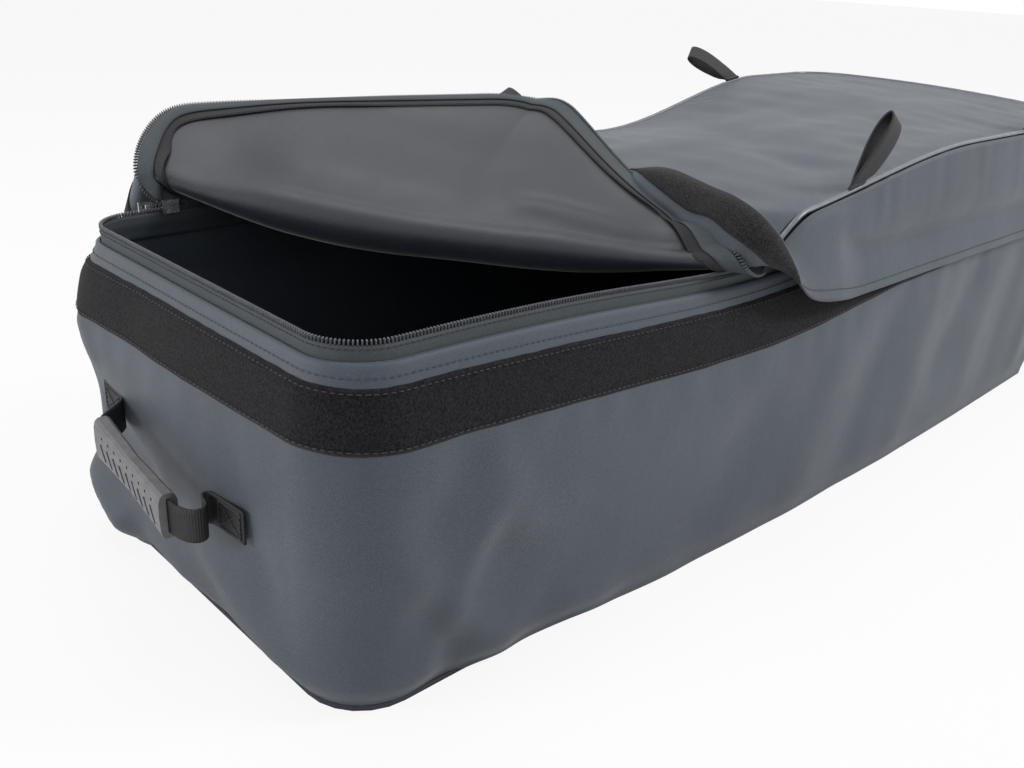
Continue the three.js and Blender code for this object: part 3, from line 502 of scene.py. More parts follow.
def rounded_ring(inset, radius, step):
    """A rounded rectangle, anticlockwise from the middle of the right end."""
    x0, x1, y0, y1 = inset, LENGTH - inset, inset, WIDTH - inset
    parts = []

    def straight(p, q, n, low, high, axis):
        count = max(2, int(round(abs(q[axis] - p[axis]) / step)))
        t = np.arange(count) / count
        xy = np.outer(1 - t, p) + np.outer(t, q)
        middle = np.sin(math.pi * (xy[:, axis] - low) / (high - low))
        parts.append((xy, np.tile(n, (count, 1)), middle))

    def corner(cx, cy, start):
        count = max(10, int(round(radius * math.pi / 2 / step)))
        angle = np.radians(start + 90 * np.arange(count) / count)
        n = np.stack([np.cos(angle), np.sin(angle)], 1)
        parts.append((np.array([cx, cy]) + radius * n, n, np.zeros(count)))

    left, right, near, far = x0 + radius, x1 - radius, y0 + radius, y1 - radius
    half = WIDTH / 2
    straight((x1, half), (x1, far), (1, 0), near, far, 1)
    corner(right, far, 0)
    straight((right, y1), (left, y1), (0, 1), left, right, 0)
    corner(left, far, 90)
    straight((x0, far), (x0, near), (-1, 0), near, far, 1)
    corner(left, near, 180)
    straight((left, y0), (right, y0), (0, -1), left, right, 0)
    corner(right, near, 270)
    straight((x1, near), (x1, half), (1, 0), near, far, 1)
    return Ring(*(np.concatenate(values) for values in zip(*parts)))


def zip_part(ring):
    tail = CORNER + ZIP_TAIL
    on_right = ring.n[:, 0] > 0.999
    middle = (ring.xy[:, 1] > tail) & (ring.xy[:, 1] < WIDTH - tail)
    return ring.part(~(on_right & middle))


def wall_face(middle, z):
    lean = RIM_INSET * ease(SHOULDER, ZIP_HEIGHT, z)
    bulge = BELLY * middle * np.sin(math.pi * np.minimum(z / WALL_TOP, 1))
    return bulge - lean


body = rounded_ring(0.0, CORNER, BODY_STEP)


def wall_detail(ring, z):
    """Creases and slack of the cloth wall, as millimetres outward."""
    run = ring.run()[:, None]
    x, y = ring.xy[:, :1], ring.xy[:, 1:]
    near = np.clip(-ring.n[:, 1:], 0, 1)
    left = np.clip(-ring.n[:, :1], 0, 1)
    soft = ease(0, 40, z) * ease(240, 160, z)
    out = 3.4 * waves(run, z * 1.4, 3, 6, 420, 150) * soft
    out = out + 1.2 * waves(run, z * 0.7, 8, 5, 110, 50) * ease(10, 50, z) * ease(225, 170, z)
    out = out - 12.0 * ease(34, 0, z) ** 2 * (1 - 0.75 * near * ease(150, 330, x))
    out = out + 13.0 * near * np.sin(math.pi * np.clip((x - 80) / 950, 0, 1)) * ease(120, 10, z)
    out = out + 7.0 * left ** 0.5 * ease(250, 345, y) * ease(120, 180, z) * ease(250, 225, z)
    out = out + near * creases(x, z, NEAR_CREASES)
    out = out + left ** 0.5 * creases(y, z, LEFT_CREASES)
    under_band = ease(150, 196, z) * ease(199, 197, z)
    return out + 0.35 * under_band * np.sin(run / 7.0 + 3 * waves(run, z * 0, 5, 4, 300, 120))


# Creases of the near and the left wall, placed along the wall and up it
NEAR_CREASES = (
    ((150, 0), (40, 120), 16, 6.0), ((95, 8), (66, 88), 14, -3.5), ((60, 15), (130, 150), 15, 4.0),
    ((190, 30), (120, 110), 22, -4.0), ((250, 12), (150, 60), 18, 4.0), ((70, 130), (110, 195), 18, -3.0),
    ((160, 100), (120, 190), 18, 2.5), ((330, 20), (440, 150), 40, -4.0), ((470, 15), (560, 170), 36, 4.0),
    ((560, 10), (650, 185), 30, -3.5), ((660, 15), (730, 190), 28, 3.5), ((730, 60), (830, 190), 24, -3.0),
    ((820, 20), (880, 190), 30, 3.0), ((900, 30), (950, 190), 26, -3.0), ((990, 20), (1020, 180), 20, 3.0),
)
LEFT_CREASES = (
    ((60, 15), (190, 80), 22, 4.0), ((80, 60), (120, 170), 16, -2.5), ((200, 20), (300, 60), 22, 3.0),
    ((230, 95), (345, 122), 15, -6.0), ((300, 15), (372, 62), 28, 15.0), ((330, 160), (350, 200), 14, 3.0),
    ((150, 8), (200, 110), 20, -2.0),
)


def slump(ring, z):
    """How far the near wall's top sinks beside the open corner."""
    x, near = ring.xy[:, :1], np.clip(-ring.n[:, 1:], 0, 1)
    z = np.atleast_2d(z)
    drop = 19.0 * np.exp(-((x - 430) / np.where(x < 430, 260, 185)) ** 2) * ease(25, 190, z)
    above = 17.5 * np.exp(-((x - 425) / np.where(x < 425, 190, 115)) ** 2)
    return near * mix(drop, above, ease(235, 262, z))


def wall_surface(ring, z, lift=0.0):
    """Places on the wall's outer face at heights z, one row per station."""
    z = np.broadcast_to(np.asarray(z, float)[None], (len(ring.xy), len(z)))
    face = wall_face(ring.middle[:, None], z) + wall_detail(ring, z)
    return ring.shift(face + lift, z - slump(ring, z))


def body_walls():
    z = np.concatenate([np.linspace(0, 24, 9), np.linspace(30, 190, 33),
                        np.linspace(194, WALL_TOP, 22)])
    z = np.append(z, WALL_TOP + np.array(RIM_UP))
    rows = wall_surface(body, z)
    rows[:, -2:] -= body.level_out()[:, None] * np.array(RIM_IN)[:, None]
    sheet_piece("body_cloth", rows, outer_cloth, "body_walls", ring=True,
                thickness=CLOTH, offset=-1.0)


def outward(ring, rows):
    normals = row_normals(rows, ring=True)
    sign = np.sign((normals * ring.level_out()[:, None]).sum(-1, keepdims=True).mean())
    return normals * sign


def loop_band():
    z = np.linspace(BAND_BOTTOM, BAND_TOP, 12)
    rows = wall_surface(body, z, 1.4)
    run = body.run()[:, None]
    for side, seed in ((0, 21), (-1, 22)):
        rows[:, side, 2] += 0.6 * waves(run, 0 * run, seed, 6, 60, 16)[:, 0]
        rows[:, side] -= body.level_out()
    sheet_piece("band_pile", rows, loop_pile, "loop_band", ring=True,
                thickness=1.2, offset=-1.0)
    for name, height in (("band_stitches_low", BAND_BOTTOM + 3), ("band_stitches_top", BAND_TOP - 3)):
        line = wall_surface(body, [height - 2, height, height + 2], 1.6)
        normals = outward(body, line)
        stitches(name, line[:, 1], normals[:, 1], dark_thread_look, slot="loop_fuzz")
    line = wall_surface(body, [WALL_TOP - 9, WALL_TOP - 7, WALL_TOP - 5], 0.2)
    stitches("rim_stitches", line[:, 1], outward(body, line)[:, 1], thread_look,
             slot="outer_cloth")


TOOTH = bead([(-1.6, 0.5, 0.35), (-1.25, 0.85, 0.62), (1.25, 0.85, 0.62), (1.6, 0.5, 0.35)], 6)


def teeth_row(name, path, across, through, node):
    """One row of coil teeth along a path, each lying across the tape's edge."""
    knots = travelled(path)
    at = np.arange(TEETH_PITCH / 2, knots[-1], TEETH_PITCH)
    x, z = (unit(follow(way, knots, at)) for way in (across, through))
    y = unit(np.cross(z, x))
    shape, faces = TOOTH
    shape = np.array(shape) * [1.05, 1.15, 1.9]
    piece = repeated_piece(name, shape, faces, follow(path, knots, at), (x, y, z), teeth_look,
                           "zip_teeth")
    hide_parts(node)


def body_zip():
    ring = zip_part(body)
    count = len(ring.xy)
    z = np.linspace(WALL_TOP - 12, TAPE_TOP, 8)
    behind = wall_face(ring.middle[:, None], z[None]) - TAPE_BEHIND_WALL
    out = np.where(z > WALL_TOP, -TAPE_INSET, behind)
    sunk = slump(ring, ZIP_HEIGHT)[:, 0]
    sheet_piece("body_tape", ring.shift(out, z[None] - slump(ring, z)), tape_cloth,
                "body_zip_tape", thickness=TAPE_THICKNESS)
    path = ring.shift(np.full(count, -ZIP_INSET), ZIP_HEIGHT - 0.5 - TEETH / 2 - sunk)
    up = np.tile([0.0, 0.0, 1.0], (count, 1))
    teeth_row("body_teeth_row", path, up, ring.level_out(), "body_zip_teeth")
    line = ring.shift(np.full(count, -TAPE_STITCH_INSET), TAPE_TOP - 2.4 - sunk)
    stitches("tape_stitches", line, ring.level_out(), dark_thread_look, pitch=4.4,
             slot="zip_tape")


# Lid

FOLD_START = np.array([FOLD_FAR_X, WIDTH - LID_INSET])
FOLD_END = np.array([FOLD_NEAR_X, LID_INSET])
ALONG = unit(FOLD_END - FOLD_START)
ACROSS = np.array([-ALONG[1], ALONG[0]])
LID_RADIUS = CORNER - LID_INSET
SEAM_DEPTH = LID_THICKNESS / 2 + TRIM_SEAT
TAPE_DEPTH = SEAM_DEPTH + BINDING_THICKNESS + TRIM_SEAT + TAPE_THICKNESS / 2


def closed_height(x, y):
    across = np.clip((y - LID_INSET) / (WIDTH - 2 * LID_INSET), 0, 1)
    near = mix(LID_LOW, LID_HIGH_NEAR, ease(*NEAR_RISE, x))
    far = mix(LID_LOW, LID_HIGH_FAR, ease(*FAR_RISE, x))
    return mix(near, far, across) + LID_CROWN * np.sin(math.pi * across) * ease(*NEAR_RISE, x)


def smooth_curve(table):
    """A table of places and values, filled in finely and evened out."""
    at = np.arange(table[0][0] - 40.0, table[0][-1] + 41.0)
    value = np.interp(at, *table)
    kernel = np.exp(-(np.arange(-40, 41) / 16.0) ** 2)
    value = np.convolve(np.pad(value, 40, mode="edge"), kernel / kernel.sum(), "valid")
    return at, value


FOLD_CURVE, LEAF_CURVE = smooth_curve(FOLD_HEIGHTS), smooth_curve(LEAF_HEIGHTS)
FOLD_LENGTH = np.linalg.norm(FOLD_END - FOLD_START)


def from_fold(x, y):
    """How far a place on the flat lid lies beyond the fold line, and how far along it."""
    rx, ry = x - FOLD_START[0], y - FOLD_START[1]
    return -(rx * ACROSS[0] + ry * ACROSS[1]), rx * ALONG[0] + ry * ALONG[1]


def folded_place(x, y):
    """Where a place on the flat lid lies in the folded pose."""
    beyond, along = from_fold(x, y)
    inner = np.clip(along, 0, FOLD_LENGTH)
    fold = np.interp(inner, *FOLD_CURVE)
    edge = np.interp(along, *LEAF_CURVE)
    radius = mix(FOLD_RADII[0], FOLD_RADII[1], ease(*FOLD_SETTLES, along))
    left = (FOLD_FAR_X - LID_INSET + ALONG[0] * along) / ACROSS[0]
    near = (FOLD_START[1] - LID_INSET + ALONG[1] * along) / ACROSS[1]
    reach = np.maximum(np.minimum(left, near), 2.6 * radius)
    flatness = mix(1.0, FOLD_FLATTEST, ease(*FOLD_FLATTENS, along))
    bent = np.clip(beyond / radius, 0, math.pi)
    straight = np.maximum(beyond - radius * math.pi, 0)
    share = np.clip(straight / np.maximum(reach - radius * math.pi, 40.0), 0, 1.2)
    back = radius * np.sin(bent) - straight * 0.985
    roll = radius * (1 - np.cos(bent)) * flatness
    top = fold + 2 * radius * flatness
    gentle = mix(share, share * share * (3 - 2 * np.minimum(share, 1)), ease(140, 20, along))
    rise = mix(0.0, edge - top, gentle) + 9 * np.sin(math.pi * np.minimum(share, 1)) * ease(0, 120, along)
    height = fold + roll + np.where(bent >= math.pi, rise, 0.0)
    reached = np.clip(beyond / reach, 0, 1)
    height = mix(height, mix(fold, edge, reached ** 1.3 * (1.6 - 0.6 * reached)), ease(110, 10, along))
    drawn = np.where(along < 0, along * CORNER_DRAW, along)
    pull = ease(0, LEAF_CORNER[0], along) * np.clip(beyond / LEAF_CORNER[1], 0, 1)
    drawn = drawn + LEAF_DRAW[0] * pull
    back = back - LEAF_DRAW[1] * pull
    fx = FOLD_START[0] + ALONG[0] * drawn - ACROSS[0] * back
    fy = FOLD_START[1] + ALONG[1] * drawn - ACROSS[1] * back
    slope = mix(*SAG_REACH, np.sin(math.pi * inner / FOLD_LENGTH))
    sag = (LID_LOW - fold) * ease(-slope, 0, beyond)
    flat = beyond <= 0
    return np.stack([np.where(flat, x, fx), np.where(flat, y, fy),
                     np.where(flat, closed_height(x, y) - sag, height)], -1)


def lid_normal(x, y):
    e = 0.05
    dx = folded_place(x + e, y) - folded_place(x - e, y)
    dy = folded_place(x, y + e) - folded_place(x, y - e)
    return unit(np.cross(dx, dy))


def lid_margin(x, y):
    """Distance outside the flat lid's edge, negative inside it."""
    qx = np.abs(x - LENGTH / 2) - (LENGTH / 2 - LID_INSET) + LID_RADIUS
    qy = np.abs(y - WIDTH / 2) - (WIDTH / 2 - LID_INSET) + LID_RADIUS
    outside = np.hypot(np.maximum(qx, 0), np.maximum(qy, 0))
    return outside + np.minimum(np.maximum(qx, qy), 0) - LID_RADIUS


def lid_detail(x, y):
    """Slack, creases and puckers of the lid, as millimetres to its outer side."""
    inside = -lid_margin(x, y)
    calm = ease(4, 60, inside)
    beyond, _ = from_fold(x, y)
    leaf = ease(40, 90, beyond)
    closed = ease(0, -60, beyond)
    out = 2.6 * waves(x, y, 31, 6, 330, 120) * calm
    out = out + closed * calm * (1.3 * waves(x, y, 35, 6, 90, 40) + creases(x, y, LID_CREASES))
    out = out + leaf * calm * creases(x, y, LEAF_CREASES)
    around = x * np.sign(y - WIDTH / 2) + y
    pucker = np.sin(2 * math.pi * around / 19 + 2.0 * waves(x, y, 44, 4, 120, 50))
    return out + 0.55 * pucker * ease(46, 8, inside) * ease(1, 6, inside) * closed


# Creases of the closed lid and of the leaf, placed on the flat lid
LID_CREASES = (
    ((560, 40), (700, 300), 20, -3.0), ((600, 20), (760, 250), 26, 3.0),
    ((700, 20), (860, 200), 15, -2.4),
)
LEAF_CREASES = (
    ((200, 120), (300, 40), 16, -6.0), ((230, 150), (330, 60), 14, 4.0),
    ((90, 300), (190, 130), 60, -5.0), ((30, 200), (160, 60), 26, 2.0),
)


def lid_rows(step, columns):
    """Rows of the flat lid's cloth, parallel to the fold line and closer at the lid's ends."""
    tip = lid_reach(LID_INSET + LID_RADIUS, LID_INSET + LID_RADIUS, -1)
    end = lid_reach(LENGTH - LID_INSET - LID_RADIUS, WIDTH - LID_INSET - LID_RADIUS, 1)
    t = np.linspace(0, 1, int((end - tip) / step))
    distance = mix(tip, end, t)
    crowd = 40.0
    ends = np.array([0, 1, 2.5, 5, 9, 14, 20, 28]) / 28 * crowd
    distance = np.concatenate([tip + ends, distance[(distance > tip + crowd) & (distance < end - crowd)],
                               (end - ends)[::-1]])
    base = FOLD_START[None] + distance[:, None] * ACROSS[None]
    scan = np.linspace(-800, 1700, 1251)
    grid = base[:, None] + scan[None, :, None] * ALONG
    middle = scan[lid_margin(grid[..., 0], grid[..., 1]).argmin(1)]

    def edge(sign):
        inside, outside = middle.copy(), middle + sign * 2500
        for _ in range(50):
            s = (inside + outside) / 2
            p = base + s[:, None] * ALONG
            kept = lid_margin(p[:, 0], p[:, 1]) < 0
            inside, outside = np.where(kept, s, inside), np.where(kept, outside, s)
        return inside

    low, high = edge(-1), edge(1)
    t = np.linspace(0, 1, columns)
    t = mix(t, (1 - np.cos(math.pi * t)) / 2, 0.6)
    s = low[:, None] + (high - low)[:, None] * t[None]
    return base[:, None] + s[..., None] * ALONG


def lid_reach(x, y, sign):
    """The lid's farthest distance from the fold line at a corner centred on x, y."""
    return (np.array([x, y]) - FOLD_START) @ ACROSS + sign * (LID_RADIUS - 0.7)


def lid_panel():
    flat = lid_rows(5.0, 92)
    x, y = flat[..., 0], flat[..., 1]
    rows = folded_place(x, y) + lid_normal(x, y) * lid_detail(x, y)[..., None]
    piece = sheet_piece("lid_cloth", rows, inner_cloth, "lid_panel",
                        thickness=LID_THICKNESS)
    piece.data.materials.append(outer_cloth)
    shell = piece.modifiers["thickness"]
    shell.material_offset = 1
    shell.material_offset_rim = 1


def evened(values, where, spread=3.0, rounds=2):
    """Values along a ring, averaged with their neighbours where asked."""
    reach = int(3 * spread)
    if len(values) <= 2 * reach:
        return values
    kernel = np.exp(-(np.arange(-reach, reach + 1) / spread) ** 2)
    kernel = kernel / kernel.sum()
    for _ in range(rounds):
        padded = np.concatenate([values[:1]] * reach + [values] + [values[-1:]] * reach)
        soft = sum(k * padded[i:i + len(values)] for i, k in enumerate(kernel))
        values = mix(values, soft, where.reshape(-1, *[1] * (values.ndim - 1)))
    return values


class Edge:
    """The folded lid's edge at a ring of stations."""

    def __init__(self, ring):
        e = 0.5
        x, y = ring.xy.T
        nx, ny = ring.n.T
        self.ring = ring
        self.place = folded_place(x, y)
        self.out = unit(self.place - folded_place(x - e * nx, y - e * ny))
        self.inner = -lid_normal(x - e * nx, y - e * ny)
        self.beyond, _ = from_fold(x, y)
        self.far = (ring.n[:, 1] > 0.5) & (x < LENGTH / 2)
        turned = ease(-12, 12, self.beyond) * ease(300, 240, self.beyond)
        self.out = unit(evened(self.out, turned, 4.0, 3))
        self.inner = unit(evened(self.inner, turned, 4.0, 3))
        self.place = evened(self.place, turned * ease(150, 90, self.beyond) * (y > WIDTH / 2))

    def on_cloth(self, out, inner):
        """Places out of the edge in the cloth's plane and towards its inner side."""
        return (self.place + np.expand_dims(out, -1) * self.out
                + np.expand_dims(inner, -1) * self.inner)


lid_ring = rounded_ring(LID_INSET, LID_RADIUS, LID_STEP)
lid_edge = Edge(lid_ring)


def lid_trim():
    edge = lid_edge
    across = np.linspace(-BINDING[0], -BINDING[1], 7)
    crown = 0.5 * np.sin(np.linspace(0, math.pi, 7))
    rows = np.stack([edge.on_cloth(a, SEAM_DEPTH - 0.4 + c) for a, c in zip(across, crown)], 1)
    sheet_piece("binding_tape", rows, binding_cloth, "lid_binding", ring=True,
                thickness=BINDING_THICKNESS)
    for name, a in (("binding_stitches", -BINDING[1] + 2.0), ("seam_stitches", -BINDING[0] - 1.6)):
        line = edge.on_cloth(a, SEAM_DEPTH + 0.35)
        stitches(name, line, edge.inner, dark_thread_look, pitch=4.6, slot="binding")
    run = np.arange(len(edge.place)) * LID_STEP
    swell = 1 + 0.07 * waves(run, 0 * run, 51, 5, 40, 12)
    centre = edge.on_cloth(PIPING_STAND_OFF + PIPING_RADIUS, -TRIM_SEAT)
    cord_piece("piping_cord", centre, PIPING_RADIUS * swell, 10, piping_painted_highlight_look,
               "lid_piping")


def lid_zip():
    ring = zip_part(lid_ring)
    edge = Edge(ring)
    reach = (FOLD_FAR_X - SLIDER_START) * ACROSS[0] + SLIDER_CLEARANCE
    start = np.where(edge.far, reach, NEAR_TAPE_TURNS[0])
    end = np.where(edge.far, reach + FAR_TAPE_TURN, NEAR_TAPE_TURNS[1])
    share = ease(start, end, edge.beyond)
    hinge = LID_INSET - ZIP_INSET
    on_seam = edge.on_cloth(mix(hinge, TAPE_HINGE, share), TAPE_DEPTH)
    forced = np.concatenate([ring.xy + ring.n * hinge, on_seam[:, 2:]], 1)
    forced[:, 0] = np.where(np.abs(ring.n[:, 1]) > 0.999, on_seam[:, 0], forced[:, 0])
    turn = mix(forced, on_seam, ease(start - 5, start + 3, edge.beyond)[:, None])
    down = np.array([0.0, 0.0, -1.0])
    leans = np.maximum(ease(0.3, 0.9, -ring.n[:, 0]), edge.far * 1.0) * ease(10, 60, edge.beyond)
    facing = mix(0.15, -0.4, leans)[:, None]
    way = unit(mix(down, edge.out + facing * edge.inner, share[:, None]))
    meets = ZIP_HEIGHT + 0.5 + TEETH + 0.3 - slump(ring, ZIP_HEIGHT)[:, 0]
    length = mix(np.maximum(turn[:, 2] - meets, 2.0), TAPE_REACH - TAPE_HINGE, share)
    seam = edge.on_cloth(-6.0, SEAM_DEPTH + 1.3)
    rows = [seam, mix(seam, turn, 0.5)] + [turn + way * (length * t)[:, None]
                                          for t in np.linspace(0, 1, 6)]
    rows = np.stack(rows, 1)
    sheet_piece("lid_tape", rows, tape_cloth, "lid_zip_tape",
                thickness=TAPE_THICKNESS)
    path = rows[:, -1] + way * (0.3 + TEETH / 2)
    through = row_normals(rows)[:, -1]
    teeth_row("lid_teeth_row", path, way, through, "lid_zip_teeth")


def hinge_strip():
    clear = CORNER + ZIP_TAIL + HINGE_CLEARANCE
    y = np.linspace(clear, WIDTH - clear, 40)
    top = closed_height(LENGTH - LID_INSET, y) - TAPE_DEPTH - 1
    x = LENGTH - RIM_INSET - 1.5
    z = WALL_TOP + 0.4 + np.linspace(0, 1, 10)[None] * (top[:, None] - WALL_TOP - 0.4)
    swell = 1.0 * np.sin(math.pi * np.linspace(0, 1, 10))[None] * np.sin(y[:, None] / 23)
    rows = np.stack([x + swell, np.broadcast_to(y[:, None], z.shape), z], -1)
    sheet_piece("hinge_cloth", rows, outer_cloth, "hinge_strip", thickness=1.6)


FLAP_GAP = SEAT + BAND_THICKNESS + FLAP_CLEARANCE + HOOK_THICKNESS + TRIM_SEAT
FLAP_ROOT = PIPING_STAND_OFF + 2 * PIPING_RADIUS + TRIM_SEAT + FLAP_THICKNESS / 2
FLAP_HEIGHTS = (WALL_TOP, BAND_TOP, 225.8, 212.2, HEM_HEIGHT)


def flap_lines():
    """The storm flap's lines from seam to hem, one for each station of the lid's edge."""
    edge, ring = lid_edge, lid_ring
    x, y = ring.xy.T
    root = edge.on_cloth(FLAP_ROOT, 0.0)
    share = np.where(edge.far, ease(*FAR_FLAP_TURNS, edge.beyond),
                     ease(*FLAP_TURNS, edge.beyond))[:, None]
    far = y / WIDTH
    hangs = np.where(edge.far, 1.0, ease(0.1, 0.9, -ring.n[:, 0]))
    level = np.stack([edge.out[:, 0], edge.out[:, 1] + ease(0.5, 1, far), 0 * far], 1)
    drop = np.radians(mix(LEAF_DROPS[0], LEAF_DROPS[1], far))[:, None]
    hanging = unit(level) * np.cos(drop) - np.array([0, 0, 1.0]) * np.sin(drop)
    lying = edge.out * [1, 1, 0.3] + np.array([0.0, 0.0, 0.33])
    tuck = (ease(150, 235, edge.beyond) * ease(170, 60, y))[:, None]
    under = edge.out * 0.25 - np.array([0.0, 0.0, 1.0])
    way = unit(mix(unit(mix(lying, hanging, hangs[:, None])), under, tuck))
    width = mix(mix(TUCKED_FLAP, LEAF_FLAP, hangs)[:, None], CORNER_FLAP, tuck)
    lines = [root]
    for z in FLAP_HEIGHTS:
        out = (wall_face(ring.middle, z) + FLAP_GAP + FLAP_THICKNESS / 2 + LID_INSET
               + FLAP_SLACK * ease(BAND_TOP, WALL_TOP, z))
        closed = np.stack([edge.place[:, 0] + ring.n[:, 0] * out, y + ring.n[:, 1] * out,
                           np.full(len(y), z)], 1)
        folded = root + way * width * (LID_LOW - z) / (LID_LOW - HEM_HEIGHT)
        lines.append(mix(closed, folded, share))
    lines = np.stack(lines, 1)
    turning = (ease(HEM_TURN[0][0], HEM_TURN[0][2], edge.beyond)
               * ease(HEM_TURN[0][-1], HEM_TURN[0][-3], edge.beyond) * (ring.n[:, 1] < -0.5))
    hem = np.stack([np.interp(edge.beyond, HEM_TURN[0], HEM_TURN[k]) for k in (1, 2, 3)], 1)
    raised = ease(-30, 40, edge.beyond)[:, None]
    pull = (root + hem) / 2 + mix(np.array([0.0, -9.0, -4.0]), np.array([-14.0, -16.0, 16.0]), raised)
    t = np.linspace(0, 1, lines.shape[1])[None, :, None]
    curled = (1 - t) ** 2 * root[:, None] + 2 * t * (1 - t) * pull[:, None] + t ** 2 * hem[:, None]
    lines = mix(lines, curled, turning[:, None, None])
    near = ease(-140, -100, edge.beyond) * ease(200, 150, edge.beyond) * (ring.n[:, 1] < -0.5)
    return evened(lines, near, 2.5)


def storm_flap():
    lines = flap_lines()
    rows = resample(lines, 26)
    normals = row_normals(rows, ring=True)
    run = (np.arange(len(rows)) * LID_STEP)[:, None]
    t = np.linspace(0, 1, 26)[None]
    slack = 1.8 * waves(run, 90 * t, 61, 6, 260, 80) * ease(0.05, 0.4, t)
    pucker = 0.5 * np.sin(run / 7 + 5 * waves(run, 0 * run, 62, 4, 190, 70))
    pucker = pucker * (0.6 + waves(run, 60 * t, 63, 4, 240, 90)) * ease(0.55, 0.05, t)
    rows = rows + normals * (slack + pucker)[..., None]
    sheet_piece("flap_cloth", rows, outer_cloth, "storm_flap", ring=True,
                thickness=FLAP_THICKNESS)
    normals = row_normals(rows, ring=True)
    hem = rows[:, -3] + normals[:, -3] * -0.9
    stitches("hem_stitches", hem, -normals[:, -3], thread_look, slot="outer_cloth")
    hook = rows[:, 13:25] + normals[:, 13:25] * 1.5
    sheet_piece("hook_pile", hook, hook_pile, "hook_tape", ring=True, thickness=1.0)


# Handles

def bezier(a, b, c, d, count):
    t = np.linspace(0, 1, count)[:, None]
    return ((1 - t) ** 3 * a + 3 * (1 - t) ** 2 * t * b + 3 * (1 - t) * t ** 2 * c + t ** 3 * d)


def tilt_at(along):
    return HANDLE_HEIGHT + HANDLE_TILT * (along - (GRIP_FAR + GRIP_NEAR) / 2) / (
        (GRIP_FAR - GRIP_NEAR) / 2)


def on_wall(along):
    middle = math.sin(math.pi * (along - CORNER) / (WIDTH - 2 * CORNER))
    face = float(wall_face(middle, HANDLE_HEIGHT)) + SEAT + WEBBING / 2 + 0.4
    end = GRIP_FAR if along > GRIP_NEAR else GRIP_NEAR
    return np.array([along, face, tilt_at(end)])


def clear_of_wall(along, out):
    return np.array([along, out, tilt_at(min(max(along, GRIP_NEAR), GRIP_FAR))])


def handle_route():
    """The middle line of the webbing, from its far patch through the grip to its near patch."""
    out, turn = HANDLE_OUT, PATCH_NEAR[0] - STRAP_TURN
    start, leaves = on_wall(PATCH_FAR[0]), on_wall(PATCH_FAR[1])
    grip_far, grip_near = clear_of_wall(GRIP_FAR, out), clear_of_wall(GRIP_NEAR, out)
    bend = clear_of_wall(turn, out * 0.47)
    pieces = [
        np.linspace(start, leaves, 12),
        bezier(leaves, on_wall(PATCH_FAR[1] - 14), clear_of_wall(GRIP_FAR + 14, out), grip_far, 24),
        np.linspace(grip_far, grip_near, 20),
        bezier(grip_near, clear_of_wall(GRIP_NEAR - 27, out),
               clear_of_wall(GRIP_NEAR - 29, out * 0.56), bend, 30),
        bezier(bend, clear_of_wall(turn + 12, out * 0.42), on_wall(turn + 12), on_wall(turn), 24),
        np.linspace(on_wall(turn), on_wall(PATCH_NEAR[1]), 12),
    ]
    return np.concatenate([pieces[0]] + [p[1:] for p in pieces[1:]])


def handle_place(end, p):
    along, out, z = p[..., 0], p[..., 1], p[..., 2]
    if end == "left":
        return np.stack([-out, along, z], -1)
    return np.stack([LENGTH + out, WIDTH - along, z], -1)


def handle(end):
    route = handle_route()
    across = np.linspace(-0.5, 0.5, 9)
    rows = route[:, None] + np.stack([0 * across, 0 * across, across * WEBBING_WIDTH], -1)[None]
    sheet_piece(f"handle_webbing_{end}", handle_place(end, rows), webbing_look,
                f"handle_strap_{end}", thickness=WEBBING)
    lift = WEBBING / 2 + 0.35
    half = WEBBING_WIDTH / 2 - STITCH_MARGIN
    patches = (("far", *PATCH_FAR), ("near", PATCH_NEAR[0] - STRAP_TURN, PATCH_NEAR[1]))
    for label, outer, inner in patches:
        a, b = outer - PATCH_MARGIN, inner + PATCH_MARGIN
        corners = [(a, -half), (b, -half), (b, half), (a, half), (a, -half), (b, half),
                   (b, -half), (a, half)]
        path = []
        for (p, q), (r, s) in zip(corners[:-1], corners[1:]):
            for t in np.linspace(0, 1, 10)[:-1]:
                base = on_wall(mix(p, r, t))
                path.append([base[0], base[1] + lift, base[2] + mix(q, s, t)])
        path = handle_place(end, np.array(path))
        normal = np.tile([-1.0 if end == "left" else 1.0, 0.0, 0.0], (len(path), 1))
        stitches(f"handle_{label}_stitches_{end}", path, normal, thread_look, pitch=3.6,
                 slot="webbing")


# Tie-down loops

NEAR_WAYS = ((0.9, -0.35, -0.3), (0.5, -0.1, 0.83), (0.4, -0.2, 0.85))
FAR_WAYS = ((0.1, -0.9, 0.3), (-0.3, 0.5, 0.5), (-0.6, 0.65, 0.45))


def tie_loop(name, x, side, way):
    y = WIDTH - LID_INSET if side > 0 else LID_INSET
    edge = Edge(Ring(np.array([[x, y]]), np.array([[0.0, float(side)]]), np.zeros(1)))
    seam = unit(folded_place(x + 1, y) - folded_place(x - 1, y))
    lean = unit(np.array(way))
    opened = unit(np.cross(lean, seam))
    square = unit(np.cross(opened, lean))
    start = edge.on_cloth(PIPING_STAND_OFF + PIPING_RADIUS, -TRIM_SEAT - PIPING_RADIUS - SEAT)[0]
    angle = 2 * math.pi * np.arange(72) / 72
    height = LOOP_HEIGHT * (1 - np.cos(angle)) / 2
    wide = LOOP_BULGE * np.sin(angle) * np.abs(np.sin(angle / 2)) ** 1.2
    line = start + height[:, None] * lean + wide[:, None] * opened
    along = unit(mix(seam, square, ease(0, LOOP_SETTLES, height)[:, None]))
    across = np.linspace(-0.5, 0.5, 9)
    rows = line[:, None] + across[None, :, None] * WEBBING_WIDTH * along[:, None]
    sheet_piece(f"{name}_webbing", rows, webbing_look, name, ring=True,
                thickness=1.6, offset=-1.0)


# Carried-over parts

